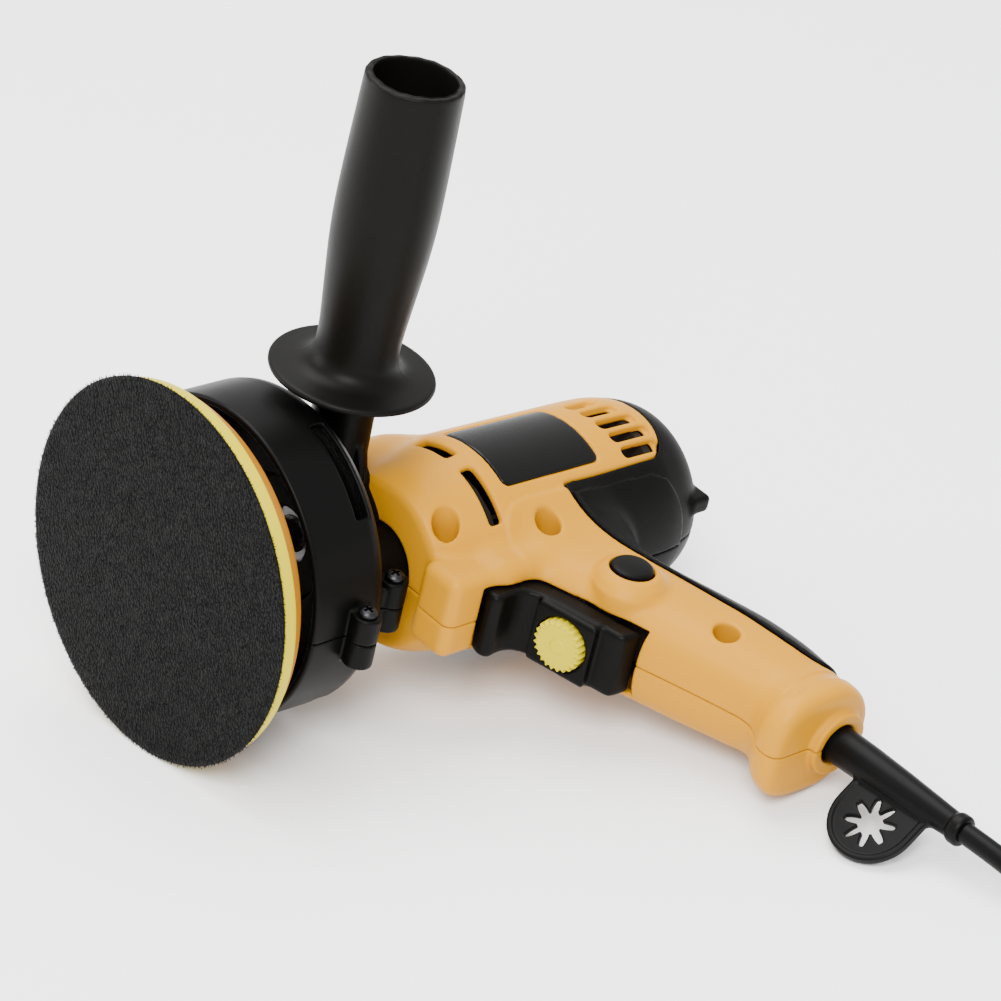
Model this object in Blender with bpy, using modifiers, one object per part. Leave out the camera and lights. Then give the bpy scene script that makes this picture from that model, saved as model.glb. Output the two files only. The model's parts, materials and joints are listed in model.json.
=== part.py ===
"""A pistol-grip rotary polisher with a 125 mm hook-and-loop pad, lying on its right side.

Every length below is in millimetres and every angle in degrees. MM and radians() turn them
into Blender's units where a mesh is made. The tool is modelled in its own frame:
x forward along the spindle and out of the pad, y towards the side handle, z up in use, with
the origin at the centre of the pad's face. The empty "tool" lays that frame on the ground,
so that the pad faces -Y, the grip points along +X and the side handle stands up along +Z.
"""

import math
from math import cos, pi, radians, sin

import bmesh
import bpy
from mathutils import Matrix, Vector

MM = 0.001
GAP = 0.3
WALL = 2.2
SMALL, MEDIUM, LARGE = 12, 20, 32  # sides of small, medium and large round pieces

# Pad and spindle, on the axis y = z = 0.
PAD_RADIUS = 62.5
HOOK_THICKNESS = 1.4
PAD_BAND = 5.5
HUB_RADIUS = 14.0
SPINDLE_RADIUS = 6.0
SPINDLE_TAIL_RADIUS = 3.5

# Motor, on the axis y = 0, z = MOTOR_Z.
MOTOR_Z = -25.0
GEAR_MODULE = 1.25
GEAR_TEETH = 30
PINION_TEETH = 10
GEAR_FRONT, GEAR_BACK = -77.3, -85.3
SHAFT_RADIUS = 4.0
CORE_RADIUS = 17.0

# Shroud, collar and side handle.
SHROUD_RADIUS = 53.1
SHROUD_WALL = 2.6
SHROUD_FRONT, SHROUD_BACK = -21.5, -52.0
COLLAR_RADIUS = 27.2
COLLAR_BORE = 21.4
COLLAR_BACK = -71.6
BOSS_RADIUS = 14.0
HANDLE_X = -67.2
HANDLE_BASE, HANDLE_TOP = 54.0, 162.0
POST_RADIUS = 10.5
STUD_RADIUS = 4.0
SHROUD_SCREWS = {"lower": (-39.0, -56.4), "upper": (-39.0, 56.4), "collar": (-60.5, -44.0)}
LUG_RADIUS = 4.6

# Housing.
NOSE_FRONT = -72.0
FOOT_FRONT, FOOT_BACK, FOOT_BOTTOM = -67.5, -100.0, -64.7
FOOT_HALF_WIDTH = 16.5
FOOT_TOP = -41.0
GRILLE_REAR = -178.2
BUTT_BOTTOM = -163.5
CORD_X = -143.5
CORD_BOSS_BOTTOM = -166.3
LABEL_FRONT, LABEL_BACK = -103.5, -147.0
LABEL_ANGLES = (-28.0, 25.0)
LABEL_RADIUS = 35.1
SCREW_PLACES = {
    "nose": (-79.0, -43.0, 19.0), "waist": (-113.0, -55.5, 15.0), "grip": (-131.0, -122.0, 15.0),
}
SCREW_HEAD_Y = 8.0
PILLAR_RADIUS = 5.2

# Trigger, speed dial and lock button.
TRIGGER_TOP, TRIGGER_BOTTOM = -63.0, -104.4
TRIGGER_HALF_WIDTH = 11.5
DIAL_CENTRE = (-94.7, -86.5)
DIAL_TILT = 13.5
DIAL_RADIUS = 8.9
DIAL_THICKNESS = 6.0
LOCK_X, LOCK_Z = -122.0, -86.0
LOCK_RADIUS = 7.0

# Mains cord and plug.
CORD_RADIUS = 3.5
RELIEF_TOP_Z = -158.5
RELIEF_END = (-143.4, 3.0, -220.0)
TAB_ANGLE = 33.0
TAB_START, TAB_END, TAB_REACH = 21.0, 50.0, 28.0  # along the boot, then out from it

# The cord on the ground, in the world's x, y and z.
COIL_CENTRE = (240.0, 100.0)
COIL_RADII = (27.5, 53.0)
COIL_HEIGHTS = (1.2, 20.4)
TIE_THICKNESS = 0.9
CORD_ROUTE = [
    (165.0, 49.9, 12.9), (171.0, 49.9, 12.2), (178.0, 50.0, 11.2), (186.0, 50.2, 9.6),
    (194.0, 50.4, 7.8), (202.0, 50.6, 6.3),
    (209.0, 50.8, 5.4),
]
TAIL_ROUTE = [
    (207.4, 153.4, 5.2), (201.0, 154.0, 4.7), (194.0, 154.6, 5.0), (187.0, 155.1, 6.4),
    (181.2, 155.4, 7.9),
]
PLUG_CENTRE = (160.0, 155.5, 9.2)
PLUG_SIZE = (40.0, 27.0, 17.0)
PIN_RADIUS, PIN_LENGTH, PIN_SPACING = 2.0, 19.0, 19.0

# How the tool lies on the ground.
NOSE_LIFT, GRIP_DROP = 7.8, 8.8
REST_SHIFT = (-50.3, -92.5, 62.7)

COLOURS = {
    "yellow": ((0.80, 0.40, 0.03, 1.0), 0.38, 0.0),
    "lemon": ((0.86, 0.74, 0.03, 1.0), 0.45, 0.0),
    "black": ((0.020, 0.020, 0.019, 1.0), 0.45, 0.0),
    "hook": ((0.012, 0.012, 0.012, 1.0), 0.9, 0.0),
    "steel": ((0.55, 0.55, 0.56, 1.0), 0.3, 1.0),
    "copper": ((0.72, 0.33, 0.16, 1.0), 0.35, 1.0),
    "laminate": ((0.28, 0.28, 0.30, 1.0), 0.5, 0.8),
    "carbon": ((0.05, 0.05, 0.05, 1.0), 0.7, 0.0),
    "grey": ((0.35, 0.35, 0.36, 1.0), 0.5, 0.0),
}


# ---------------------------------------------------------------- scene and objects


def clear_scene():
    for obj in list(bpy.data.objects):
        bpy.data.objects.remove(obj, do_unlink=True)


def new_collection(name):
    collection = bpy.data.collections.new(name)
    bpy.context.scene.collection.children.link(collection)
    return collection


def make_material(name):
    colour, roughness, metallic = COLOURS[name]
    material = bpy.data.materials.new(name)
    material.use_nodes = True
    shader = material.node_tree.nodes["Principled BSDF"]
    shader.inputs["Base Color"].default_value = colour
    shader.inputs["Roughness"].default_value = roughness
    shader.inputs["Metallic"].default_value = metallic
    material.diffuse_color = colour
    return material


def rest_matrix():
    """The tool frame's place in the world: grip along +X, pad towards -Y, handle up."""
    axes = Matrix(((0, 0, -1, 0), (-1, 0, 0, 0), (0, 1, 0, 0), (0, 0, 0, 1)))
    lift = Matrix.Rotation(radians(-NOSE_LIFT), 4, "X")
    drop = Matrix.Rotation(radians(GRIP_DROP), 4, "Y")
    return Matrix.Translation(Vector(REST_SHIFT) * MM) @ drop @ lift @ axes


clear_scene()
PARTS = new_collection("rotary_polisher")
CUTTERS = new_collection("cutters")
MATERIALS = {name: make_material(name) for name in COLOURS}
TOOL = bpy.data.objects.new("tool", None)
GROUND = bpy.data.objects.new("ground", None)
for empty in (TOOL, GROUND):
    PARTS.objects.link(empty)
TOOL.matrix_world = rest_matrix()

ALONG_X = Matrix.Rotation(radians(90), 4, "Y")  # turns a shape made along local z to lie along x
ALONG_Y = Matrix.Rotation(radians(-90), 4, "X")
ALONG_Z = Matrix.Identity(4)


def place(obj, at=(0, 0, 0), turn=None, parent=None):
    """Sets an object's place in its parent's frame, the tool's unless another is given."""
    obj.parent = parent or TOOL
    obj.matrix_local = Matrix.Translation(Vector(at) * MM) @ (turn or Matrix.Identity(4))
    return obj


def shade(obj, angle=35):
    obj.data.shade_smooth()
    obj.data.set_sharp_from_angle(angle=radians(angle))


def piece(name, mesh, colour, at=(0, 0, 0), turn=None, parent=None):
    """A named sub-part with its material."""
    obj = bpy.data.objects.new(name, mesh)
    PARTS.objects.link(obj)
    mesh.materials.append(MATERIALS[colour])
    return place(obj, at, turn, parent)


def cutter(name, mesh, at=(0, 0, 0), turn=None, parent=None):
    """A helper that other objects are joined with or cut by."""
    obj = bpy.data.objects.new("cut_" + name, mesh)
    CUTTERS.objects.link(obj)
    obj.hide_render = True
    obj.display_type = "WIRE"
    return place(obj, at, turn, parent)


def boolean(obj, operation, *others):
    for other in others:
        modifier = obj.modifiers.new(operation.lower() + "_" + other.name, "BOOLEAN")
        modifier.operation = operation
        modifier.solver = "EXACT"
        modifier.object = other
    return obj


def cut(obj, *others):
    return boolean(obj, "DIFFERENCE", *others)


def join(obj, *others):
    return boolean(obj, "UNION", *others)


def bevel(obj, width, segments=2, angle=40):
    modifier = obj.modifiers.new("bevel", "BEVEL")
    modifier.width = width * MM
    modifier.segments = segments
    modifier.limit_method = "ANGLE"
    modifier.angle_limit = radians(angle)
    return obj


# ---------------------------------------------------------------- meshes


def mesh_from(bm, name):
    mesh = bpy.data.meshes.new(name)
    bm.to_mesh(mesh)
    bm.free()
    return mesh


def box_mesh(name, low, high):
    bm = bmesh.new()
    size = [b - a for a, b in zip(low, high)]
    middle = [(a + b) / 2 for a, b in zip(low, high)]
    matrix = Matrix.Translation(Vector(middle) * MM) @ Matrix.Diagonal(Vector(size + [1 / MM]) * MM)
    bmesh.ops.create_cube(bm, size=1.0, matrix=matrix)
    return mesh_from(bm, name)


def cylinder_mesh(name, start, end, radius, sides, end_radius=None):
    """A cylinder or cone along local z from start to end."""
    bm = bmesh.new()
    # Half a side's turn keeps its edges off those of the turned shapes that it cuts.
    matrix = Matrix.Translation((0, 0, (start + end) / 2 * MM)) @ Matrix.Rotation(pi / sides, 4, "Z")
    top = radius if end_radius is None else end_radius
    bmesh.ops.create_cone(
        bm, cap_ends=True, segments=sides, radius1=radius * MM, radius2=top * MM,
        depth=abs(end - start) * MM, matrix=matrix,
    )
    return mesh_from(bm, name)


def signed_area(points):
    """Positive when the points run anticlockwise."""
    pairs = zip(points, points[1:] + points[:1])
    return sum(a[0] * b[1] - b[0] * a[1] for a, b in pairs) / 2


def turned_mesh(name, profile):
    """The half outline of a turned piece, as (distance along the axis, radius), in local x and z."""
    points = [(radius, along) for along, radius in profile]
    if signed_area(points) > 0:
        points.reverse()
    bm = bmesh.new()
    verts = [bm.verts.new((radius * MM, 0, along * MM)) for radius, along in points]
    touches_axis = any(radius == 0 for radius, _ in points)
    last = len(verts)
    for i in range(last):
        a, b = verts[i], verts[(i + 1) % last]
        on_axis = touches_axis and a.co.x == 0 and b.co.x == 0
        if not on_axis:
            bm.edges.new((a, b))
    return mesh_from(bm, name)


def turn_on_lathe(obj, sides):
    modifier = obj.modifiers.new("turn", "SCREW")
    modifier.axis = "Z"
    modifier.angle = 2 * pi
    modifier.steps = modifier.render_steps = sides
    modifier.use_merge_vertices = True
    modifier.merge_threshold = 1e-5
    return obj


def turned_piece(name, profile, colour, sides, at=(0, 0, 0), turn=ALONG_X, parent=None):
    return turn_on_lathe(piece(name, turned_mesh(name, profile), colour, at, turn, parent), sides)


def turned_cutter(name, profile, sides, at=(0, 0, 0), turn=ALONG_X):
    return turn_on_lathe(cutter(name, turned_mesh(name, profile), at, turn), sides)


def ring_profile(start, end, bore, radius):
    return [(start, bore), (start, radius), (end, radius), (end, bore)]


def slab_mesh(name, outline, start, end, holes=()):
    """A flat outline in local x and y, filled and drawn out along local z from start to end."""
    curve = bpy.data.curves.new(name, "CURVE")
    curve.dimensions = "2D"
    curve.fill_mode = "BOTH"
    curve.extrude = abs(end - start) / 2 * MM
    for points in (outline, *holes):
        spline = curve.splines.new("POLY")
        spline.points.add(len(points) - 1)
        spline.use_cyclic_u = True
        for target, (x, y) in zip(spline.points, points):
            target.co = (x * MM, y * MM, 0, 1)
    holder = bpy.data.objects.new(name, curve)
    PARTS.objects.link(holder)
    evaluated = holder.evaluated_get(bpy.context.evaluated_depsgraph_get())
    mesh = bpy.data.meshes.new_from_object(evaluated)
    bpy.data.objects.remove(holder)
    bm = bmesh.new()
    bm.from_mesh(mesh)
    bmesh.ops.remove_doubles(bm, verts=bm.verts, dist=1e-6)
    bmesh.ops.translate(bm, verts=bm.verts, vec=(0, 0, (start + end) / 2 * MM))
    bmesh.ops.recalc_face_normals(bm, faces=bm.faces)
    bm.to_mesh(mesh)
    bm.free()
    return mesh


def arc(centre, radius, start, end, steps):
    """Points on an arc, with its angles in degrees."""
    angles = [radians(start + (end - start) * i / steps) for i in range(steps + 1)]
    return [(centre[0] + radius * cos(a), centre[1] + radius * sin(a)) for a in angles]


def circle(centre, radius, steps):
    return arc(centre, radius, 0, 360, steps)[:-1]


def sector(inner, outer, start, end, steps):
    """A piece of a ring between two angles."""
    return arc((0, 0), outer, start, end, steps) + arc((0, 0), inner, end, start, steps)


def toothed(centre, teeth, root, tip, turn=0.0, tip_share=0.25):
    """A gear-like outline with straight flanks."""
    points = []
    pitch = 2 * pi / teeth
    for i in range(teeth):
        middle = radians(turn) + i * pitch
        for side, radius in (
            (-0.5 + tip_share, root), (-tip_share / 2, tip), (tip_share / 2, tip),
            (0.5 - tip_share, root),
        ):
            angle = middle + side * pitch
            points.append((centre[0] + radius * cos(angle), centre[1] + radius * sin(angle)))
    return points


def inset(points, distance):
    """The outline moved inwards by a distance."""
    if signed_area(points) < 0:
        points = points[::-1]
    moved = []
    for i, point in enumerate(points):
        before, here, after = Vector(points[i - 1]), Vector(point), Vector(points[(i + 1) % len(points)])
        a, b = (here - before).normalized(), (after - here).normalized()
        normal = Vector((-a.y - b.y, a.x + b.x)).normalized()
        spread = max(0.5, normal.dot(Vector((-a.y, a.x))))
        moved.append(tuple(here + normal * distance / spread))
    return moved


# In a slab that is drawn out along x, local x is -z of the tool and local y is its y.
# In a slab that is drawn out along y, local x is x of the tool and local y is -z.


def flank_slab(name, outline, start, end):
    """An outline in the tool's x and z, drawn out along y."""
    return slab_mesh(name, [(x, -z) for x, z in outline], start, end)


def loft_mesh(name, rings):
    """A closed skin over rings with the same number of points, for the grip's changing sections."""
    bm = bmesh.new()
    loops = [[bm.verts.new(Vector(p) * MM) for p in ring] for ring in rings]
    for lower, upper in zip(loops, loops[1:]):
        for i in range(len(lower)):
            j = (i + 1) % len(lower)
            bm.faces.new((lower[i], lower[j], upper[j], upper[i]))
    bm.faces.new(loops[0][::-1])
    bm.faces.new(loops[-1])
    bmesh.ops.triangulate(bm, faces=bm.faces)  # its four-sided faces aren't flat
    bmesh.ops.recalc_face_normals(bm, faces=bm.faces)
    return mesh_from(bm, name)


# ---------------------------------------------------------------- pad, spindle and gears


def make_pad():
    front = -HOOK_THICKNESS - GAP
    back = front - PAD_BAND
    turned_piece(
        "pad_hook_face",
        [
            (0, 0), (0, PAD_RADIUS - 0.4), (-0.4, PAD_RADIUS), (-HOOK_THICKNESS, PAD_RADIUS),
            (-HOOK_THICKNESS, 0),
        ],
        "hook", 48,
    )
    turned_piece(
        "pad_foam",
        [(front, 0), (front, PAD_RADIUS - 0.2), (back, PAD_RADIUS - 0.2), (back - 1, 58), (-13, 50),
         (-17.5, 38), (-19, 28),
         (-19, HUB_RADIUS + GAP), (-6, HUB_RADIUS + GAP), (-6, 0)],
        "lemon", 48,
    )
    turned_piece(
        "pad_hub",
        [
            (-6.3, 0), (-6.3, HUB_RADIUS), (-12, HUB_RADIUS), (-12, 10), (-22, 10),
            (-22, SPINDLE_RADIUS + GAP), (-9, SPINDLE_RADIUS + GAP), (-9, 0),
        ],
        "steel", MEDIUM,
    )


def make_spindle():
    turned_piece(
        "spindle",
        [(-9.3, 0), (-9.3, SPINDLE_RADIUS - 0.8), (-10.1, SPINDLE_RADIUS), (-24, SPINDLE_RADIUS),
         (-24, 9), (-29, 9), (-29, SPINDLE_RADIUS),
         (-87, SPINDLE_RADIUS), (-87, SPINDLE_TAIL_RADIUS), (-96, SPINDLE_TAIL_RADIUS), (-96, 0)],
        "steel", MEDIUM,
    )
    turned_piece(
        "spindle_bearing_front", ring_profile(-56.4, -64.4, SPINDLE_RADIUS + GAP, 13.9), "steel", MEDIUM,
    )
    turned_piece(
        "spindle_bearing_rear", ring_profile(-88.8, -94.8, SPINDLE_TAIL_RADIUS + GAP, 9.4), "steel",
        MEDIUM,
    )


def make_gears():
    """A reduction of GEAR_TEETH to PINION_TEETH. A tooth of the pinion points at a gap of the gear."""
    for name, teeth, centre_z, bore, turn in (
        ("spindle_gear", GEAR_TEETH, 0.0, SPINDLE_RADIUS + GAP, 180 / GEAR_TEETH),
        ("armature_pinion", PINION_TEETH, MOTOR_Z, 3.1, 180.0),
    ):
        pitch = GEAR_MODULE * teeth / 2
        outline = toothed((0, 0), teeth, pitch - 1.2 * GEAR_MODULE, pitch + 0.85 * GEAR_MODULE, turn)
        mesh = slab_mesh(name, outline, GEAR_BACK, GEAR_FRONT, holes=[circle((0, 0), bore, SMALL)])
        piece(name, mesh, "steel", (0, 0, centre_z), ALONG_X)


def make_gear_case():
    neck = turned_piece(
        "gear_case_cover",
        [
            (-53.6, 9.6), (-53.6, 21), (-71.4, 21), (-71.4, 17.4), (-76.6, 17.4), (-76.6, 14.2),
            (-56.1, 14.2), (-56.1, 9.6),
        ],
        "black", LARGE,
    )
    boss = cutter(
        "nose_boss", cylinder_mesh("nose_boss", -76.5, -57.2, BOSS_RADIUS, LARGE), (0, 0, MOTOR_Z),
        ALONG_X,
    )
    flange = cutter(
        "flange", cylinder_mesh("flange", -76.6, -75.0, 20.0, LARGE), (0, 0, MOTOR_Z), ALONG_X,
    )
    bore = cutter("bush_bore", cylinder_mesh("bush_bore", -80, -61, 6.3, SMALL), (0, 0, MOTOR_Z), ALONG_X)
    bearing = cutter(
        "bearing_bore", cylinder_mesh("bearing_bore", -80, -56.1, 14.2, MEDIUM), turn=ALONG_X,
    )
    x, z, _ = SCREW_PLACES["nose"]
    notch = cutter(
        "screw_notch", cylinder_mesh("screw_notch", -40, 40, PILLAR_RADIUS + 0.5, MEDIUM), (x, 0, z),
        ALONG_Y,
    )
    cut(join(neck, boss, flange), bore, bearing, notch)
    turned_piece("nose_bush", ring_profile(-62, -70, 3.1, 5.8), "copper", SMALL, (0, 0, MOTOR_Z))

    plate = turned_piece(
        "gear_case_plate", [(-88.5, 0), (-88.5, 26), (-95.5, 26), (-95.5, 0)], "grey", LARGE,
        (0, 0, MOTOR_Z),
    )
    upper = cutter("plate_upper", cylinder_mesh("plate_upper", -95.5, -88.5, 19.5, LARGE), turn=ALONG_X)
    holes = [
        cutter("plate_hole_spindle", cylinder_mesh("hole", -99, -85, 9.7, MEDIUM), turn=ALONG_X),
        cutter(
            "plate_hole_motor", cylinder_mesh("hole", -99, -85, 11.3, MEDIUM), (0, 0, MOTOR_Z), ALONG_X,
        ),
    ]
    cut(join(plate, upper), *holes)


# ---------------------------------------------------------------- motor


def make_motor():
    at = (0, 0, MOTOR_Z)
    turned_piece(
        "armature_shaft",
        [
            (-62.3, 0), (-62.3, 2.8), (-87.5, 2.8), (-87.5, SHAFT_RADIUS), (-164, SHAFT_RADIUS),
            (-164, 3.0), (-174, 3.0), (-174, 0),
        ],
        "steel", SMALL, at,
    )
    turned_piece(
        "armature_bearing_front", ring_profile(-88.8, -95.2, SHAFT_RADIUS + GAP, 11.0), "steel", MEDIUM,
        at,
    )
    turned_piece("armature_bearing_rear", ring_profile(-168, -174, 3.3, 9.5), "steel", MEDIUM, at)
    slots = toothed((0, 0), 12, CORE_RADIUS - 4, CORE_RADIUS, tip_share=0.42)
    core = slab_mesh("core", slots, -142, -112, holes=[circle((0, 0), SHAFT_RADIUS + GAP, SMALL)])
    piece("armature_core", core, "laminate", at, ALONG_X)
    turned_piece("commutator", ring_profile(-148, -160, SHAFT_RADIUS + GAP, 11), "copper", MEDIUM, at)
    make_fan(at)
    stator = toothed((0, 0), 4, 24.0, 27.0, turn=45, tip_share=0.3)
    piece(
        "stator",
        slab_mesh("stator", stator, -143, -111, holes=[circle((0, 0), CORE_RADIUS + 0.8, MEDIUM)]),
        "laminate", at, ALONG_X,
    )
    turned_piece(
        "field_winding_front",
        [(-107.6, 20), (-107.6, 23), (-109, 24), (-110.7, 24), (-110.7, 19), (-109, 19)], "copper",
        MEDIUM, at,
    )
    turned_piece(
        "field_winding_rear",
        [(-143.3, 19), (-143.3, 24), (-145, 24), (-146.6, 23), (-146.6, 20), (-145, 19)], "copper",
        MEDIUM, at,
    )
    turned_piece(
        "motor_end_bracket",
        [
            (-166, 12.5), (-166, 15), (-169, 31.3), (-172, 31.3), (-176, 18), (-176, 0), (-174.4, 0),
            (-174.4, 9.8), (-167, 9.8), (-166, 10.5),
        ],
        "black", MEDIUM, at,
    )
    make_brushes()


def make_fan(at):
    """A hub and disc with straight blades on its motor side."""
    fan = turned_piece(
        "cooling_fan",
        [
            (-98, SHAFT_RADIUS + GAP), (-98, 9), (-98.6, 27), (-100, 27.5), (-100.2, 12), (-105, 9),
            (-105, SHAFT_RADIUS + GAP),
        ],
        "black", MEDIUM, at,
    )
    blades = 9
    for i in range(blades):
        turn = Matrix.Rotation(2 * pi * i / blades, 4, "X")
        blade = cutter(f"blade_{i}", box_mesh("blade", (-104.5, 7.5, -0.7), (-99.2, 26, 0.7)), at, turn)
        join(fan, blade)


def make_brushes():
    for side, sign in (("left", 1), ("right", -1)):
        low, high = sorted((sign * 11.4, sign * 21.5))
        piece(
            f"brush_{side}", box_mesh("brush", (-157, low, -4), (-151, high, 4)), "carbon",
            (0, 0, MOTOR_Z),
        )
        low, high = sorted((sign * 13.0, sign * 26.0))
        holder = piece(
            f"brush_holder_{side}", box_mesh("holder", (-159, low, -6), (-149, high, 6)), "grey",
            (0, 0, MOTOR_Z),
        )
        low, high = sorted((sign * 12.0, sign * 22.5))
        cut(
            holder,
            cutter(
                f"brush_way_{side}", box_mesh("way", (-157.4, low, -4.4), (-150.6, high, 4.4)),
                (0, 0, MOTOR_Z),
            ),
        )


# ---------------------------------------------------------------- housing


def barrel_profile():
    """The motor barrel's half outline."""
    return [
        (NOSE_FRONT, 0), (NOSE_FRONT, 26.0), (-73.0, 28.0), (-78, 30.4), (-85, 32.4), (-92, 34.1),
        (-100, 35.2), (-150, 34.7),
        (-168, 34.2), (-177, 33.0), (-184, 30.8), (-189, 27.0), (-192.3, 21.0), (-193.5, 12.0), (-193.5, 0),
    ]


def barrel_room_profile():
    """The room inside the barrel, a wall's thickness smaller."""
    return [
        (NOSE_FRONT - WALL, 0), (
            NOSE_FRONT - WALL, 25.4,
        ), (-85, 30.0), (-98, 32.8), (-150, 32.5), (-172, 31.7), (-183, 28.6),
        (-190, 20.0), (-191.2, 0),
    ]


def bulge_profile():
    """The rise over the spindle's gear, which sinks into the barrel behind it."""
    return [
        (-72.3, 0), (-72.3, 20.5), (-74.5, 22.8), (-98, 23.5), (-105, 22.4), (-113, 19.4), (-122, 12.0),
        (-122, 0),
    ]


def bulge_room_profile():
    return [(-74.7, 0), (-74.7, 20.6), (-98, 21.3), (-112, 17.4), (-121, 10.0), (-121, 0)]


def grip_section(z, front, back, half_width, skin, squareness=2.5, steps=16):
    """A rounded section of the grip at a height, from its front and back x and its half width."""
    centre, depth, width = (front + back) / 2, (front - back) / 2 - skin, half_width - skin
    power = 2 / squareness
    ring = []
    for i in range(steps):
        angle = 2 * pi * i / steps
        c, s = cos(angle), sin(angle)
        x = centre + depth * math.copysign(abs(c) ** power, c)
        y = width * math.copysign(abs(s) ** power, s)
        ring.append((x, y, z))
    return ring


# The grip's sections: height z, front x, back x and half width.
GRIP = [
    (-44.0, -90.0, -168.0, 17.0), (-56.0, -95.0, -157.0, 19.0), (-66.0, -98.0, -150.0, 19.5), (
        -75.0, -101.5, -148.5, 19.5,
    ),
    (
        -105.0, -111.0, -156.0, 19.0,
    ), (-134.0, -121.0, -162.5, 18.0), (-144.0, -123.0, -162.5, 17.3), (-150.0, -120.6, -162.0, 17.9),
    (-155.0, -116.8, -161.0, 19.0), (-161.0, -116.8, -160.5, 19.2), (BUTT_BOTTOM, -119.0, -158.5, 17.0),
]
# The room inside it, without the turns of the butt.
GRIP_ROOM = [
    (-47.0, -93.0, -163.0, 17.0), (-70.0, -100.0, -149.0, 19.0), *GRIP[4:7],
    (BUTT_BOTTOM + WALL, -121.0, -161.5, 17.8),
]


def grip_mesh(name, sections, skin):
    return loft_mesh(name, [grip_section(*section, skin) for section in sections])


def foot_mesh(name, skin):
    low = (FOOT_BACK + skin, -FOOT_HALF_WIDTH + skin, FOOT_BOTTOM + skin)
    high = (FOOT_FRONT - skin, FOOT_HALF_WIDTH - skin, FOOT_TOP + skin / 2)
    return box_mesh(name, low, high)


def rear_outline():
    """The side view of the black rear cover and the strip that runs down the back of the grip."""
    return [
        (GRILLE_REAR, 20), (GRILLE_REAR, -37), (-176.5, -42), (-172, -44.6), (-130.5, -44.8),
        (-128.2, -47), (-128.6, -54),
        (-130.6, -63), (-133.6, -71), (-137.5, -80), (-139.8, -91), (-143.4, -114), (-146.4, -131),
        (-149.5, -142.5),
        (-154, -147.5), (-176, -147.5), (-215, -110), (-215, 20),
    ]


class HousingShapes:
    """The solids that the four shells are joined from and cut by."""

    def __init__(self):
        at = (0, 0, MOTOR_Z)
        self.inner_barrel = turned_cutter("inner_barrel", barrel_room_profile(), MEDIUM, at)
        self.bulge = turned_cutter("bulge", bulge_profile(), LARGE)
        self.inner_bulge = turned_cutter("inner_bulge", bulge_room_profile(), MEDIUM)
        self.grip = cutter("grip", grip_mesh("grip", GRIP, 0))
        self.inner_grip = cutter("inner_grip", grip_mesh("inner_grip", GRIP_ROOM, WALL))
        self.foot = bevel(cutter("foot", foot_mesh("foot", 0)), 4.0)
        self.inner_foot = cutter("inner_foot", foot_mesh("inner_foot", WALL))
        self.cord_boss = cutter(
            "cord_boss", cylinder_mesh("cord_boss", CORD_BOSS_BOTTOM, -160, 11.5, MEDIUM), (CORD_X, 0, 0),
        )
        self.cord_hole = cutter(
            "cord_hole", cylinder_mesh("cord_hole", -172, -150, 7.0, MEDIUM), (CORD_X, 0, 0),
        )
        self.relief_seat = cutter(
            "relief_seat", cylinder_mesh("relief_seat", -161.2, -154, 9.2, MEDIUM), (CORD_X, 0, 0),
        )
        self.nose_holes = [
            cutter("neck_hole", cylinder_mesh("neck_hole", -80, -60, 17.7, LARGE), turn=ALONG_X),
            cutter(
                "boss_hole", cylinder_mesh("boss_hole", -80, -60, BOSS_RADIUS + GAP, LARGE), at, ALONG_X,
            ),
        ]
        self.trigger_way = cutter(
            "trigger_way", box_mesh("trigger_way", (-121, -12, -105.2), (-82.1, 12, TRIGGER_TOP + 2.2)),
        )
        self.rear_region = cutter(
            "rear_region", flank_slab("rear_region", rear_outline(), -60, 60), turn=ALONG_Y,
        )
        self.rear_keep = cutter(
            "rear_keep", flank_slab("rear_keep", inset(rear_outline(), GAP), -60, 60), turn=ALONG_Y,
        )
        self.other_half = {
            "left": cutter("right_side", box_mesh("right_side", (-260, -90, -260), (0, GAP / 2, 90))),
            "right": cutter("left_side", box_mesh("left_side", (-260, -GAP / 2, -260), (0, 90, 90))),
        }

    def shell(self, name, colour):
        """The closed housing shell, before it is split and cut."""
        shell = turned_piece(name, barrel_profile(), colour, 40, (0, 0, MOTOR_Z))
        join(shell, self.bulge, self.foot, self.grip, self.cord_boss)
        return cut(shell, self.inner_barrel, self.inner_bulge, self.inner_grip, self.inner_foot)


def flank_turn(sign):
    """Places that are given by an angle about the motor axis, upwards from the flank of that side."""
    return Matrix.Identity(4) if sign > 0 else Matrix.Rotation(pi, 4, "Z")


def ring_sector(name, inner, outer, angles, front, back, sign):
    """A piece of a ring about the motor axis. Its angles rise from the flank towards z."""
    start, end = angles if sign > 0 else (180 - angles[1], 180 - angles[0])
    outline = [(-y, x) for x, y in sector(inner, outer, start, end, 10)]
    return slab_mesh(name, outline, back, front)


def vent_cutters(side, sign):
    at = (0, 0, MOTOR_Z)
    vents = [
        cutter(f"vent_{side}_{i}", ring_sector("vent", 24, 42, angles, -93.3, -97.3, sign), at, ALONG_X)
        for i, angles in enumerate(((1, 28), (-45, -9)))
    ]
    for i, angle in enumerate((19, 7.2, -4.2, -15.2, -26)):
        radial = angle if sign > 0 else 180 - angle
        turn = Matrix.Rotation(radians(radial), 4, "X")
        back = -167.5 - 3.5 * sin(pi * (i + 1) / 6)
        vents.append(
            cutter(f"slot_{side}_{i}", box_mesh("slot", (back, 26, -1.65), (-156.2, 42, 1.65)), at, turn),
        )
    return vents


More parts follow.
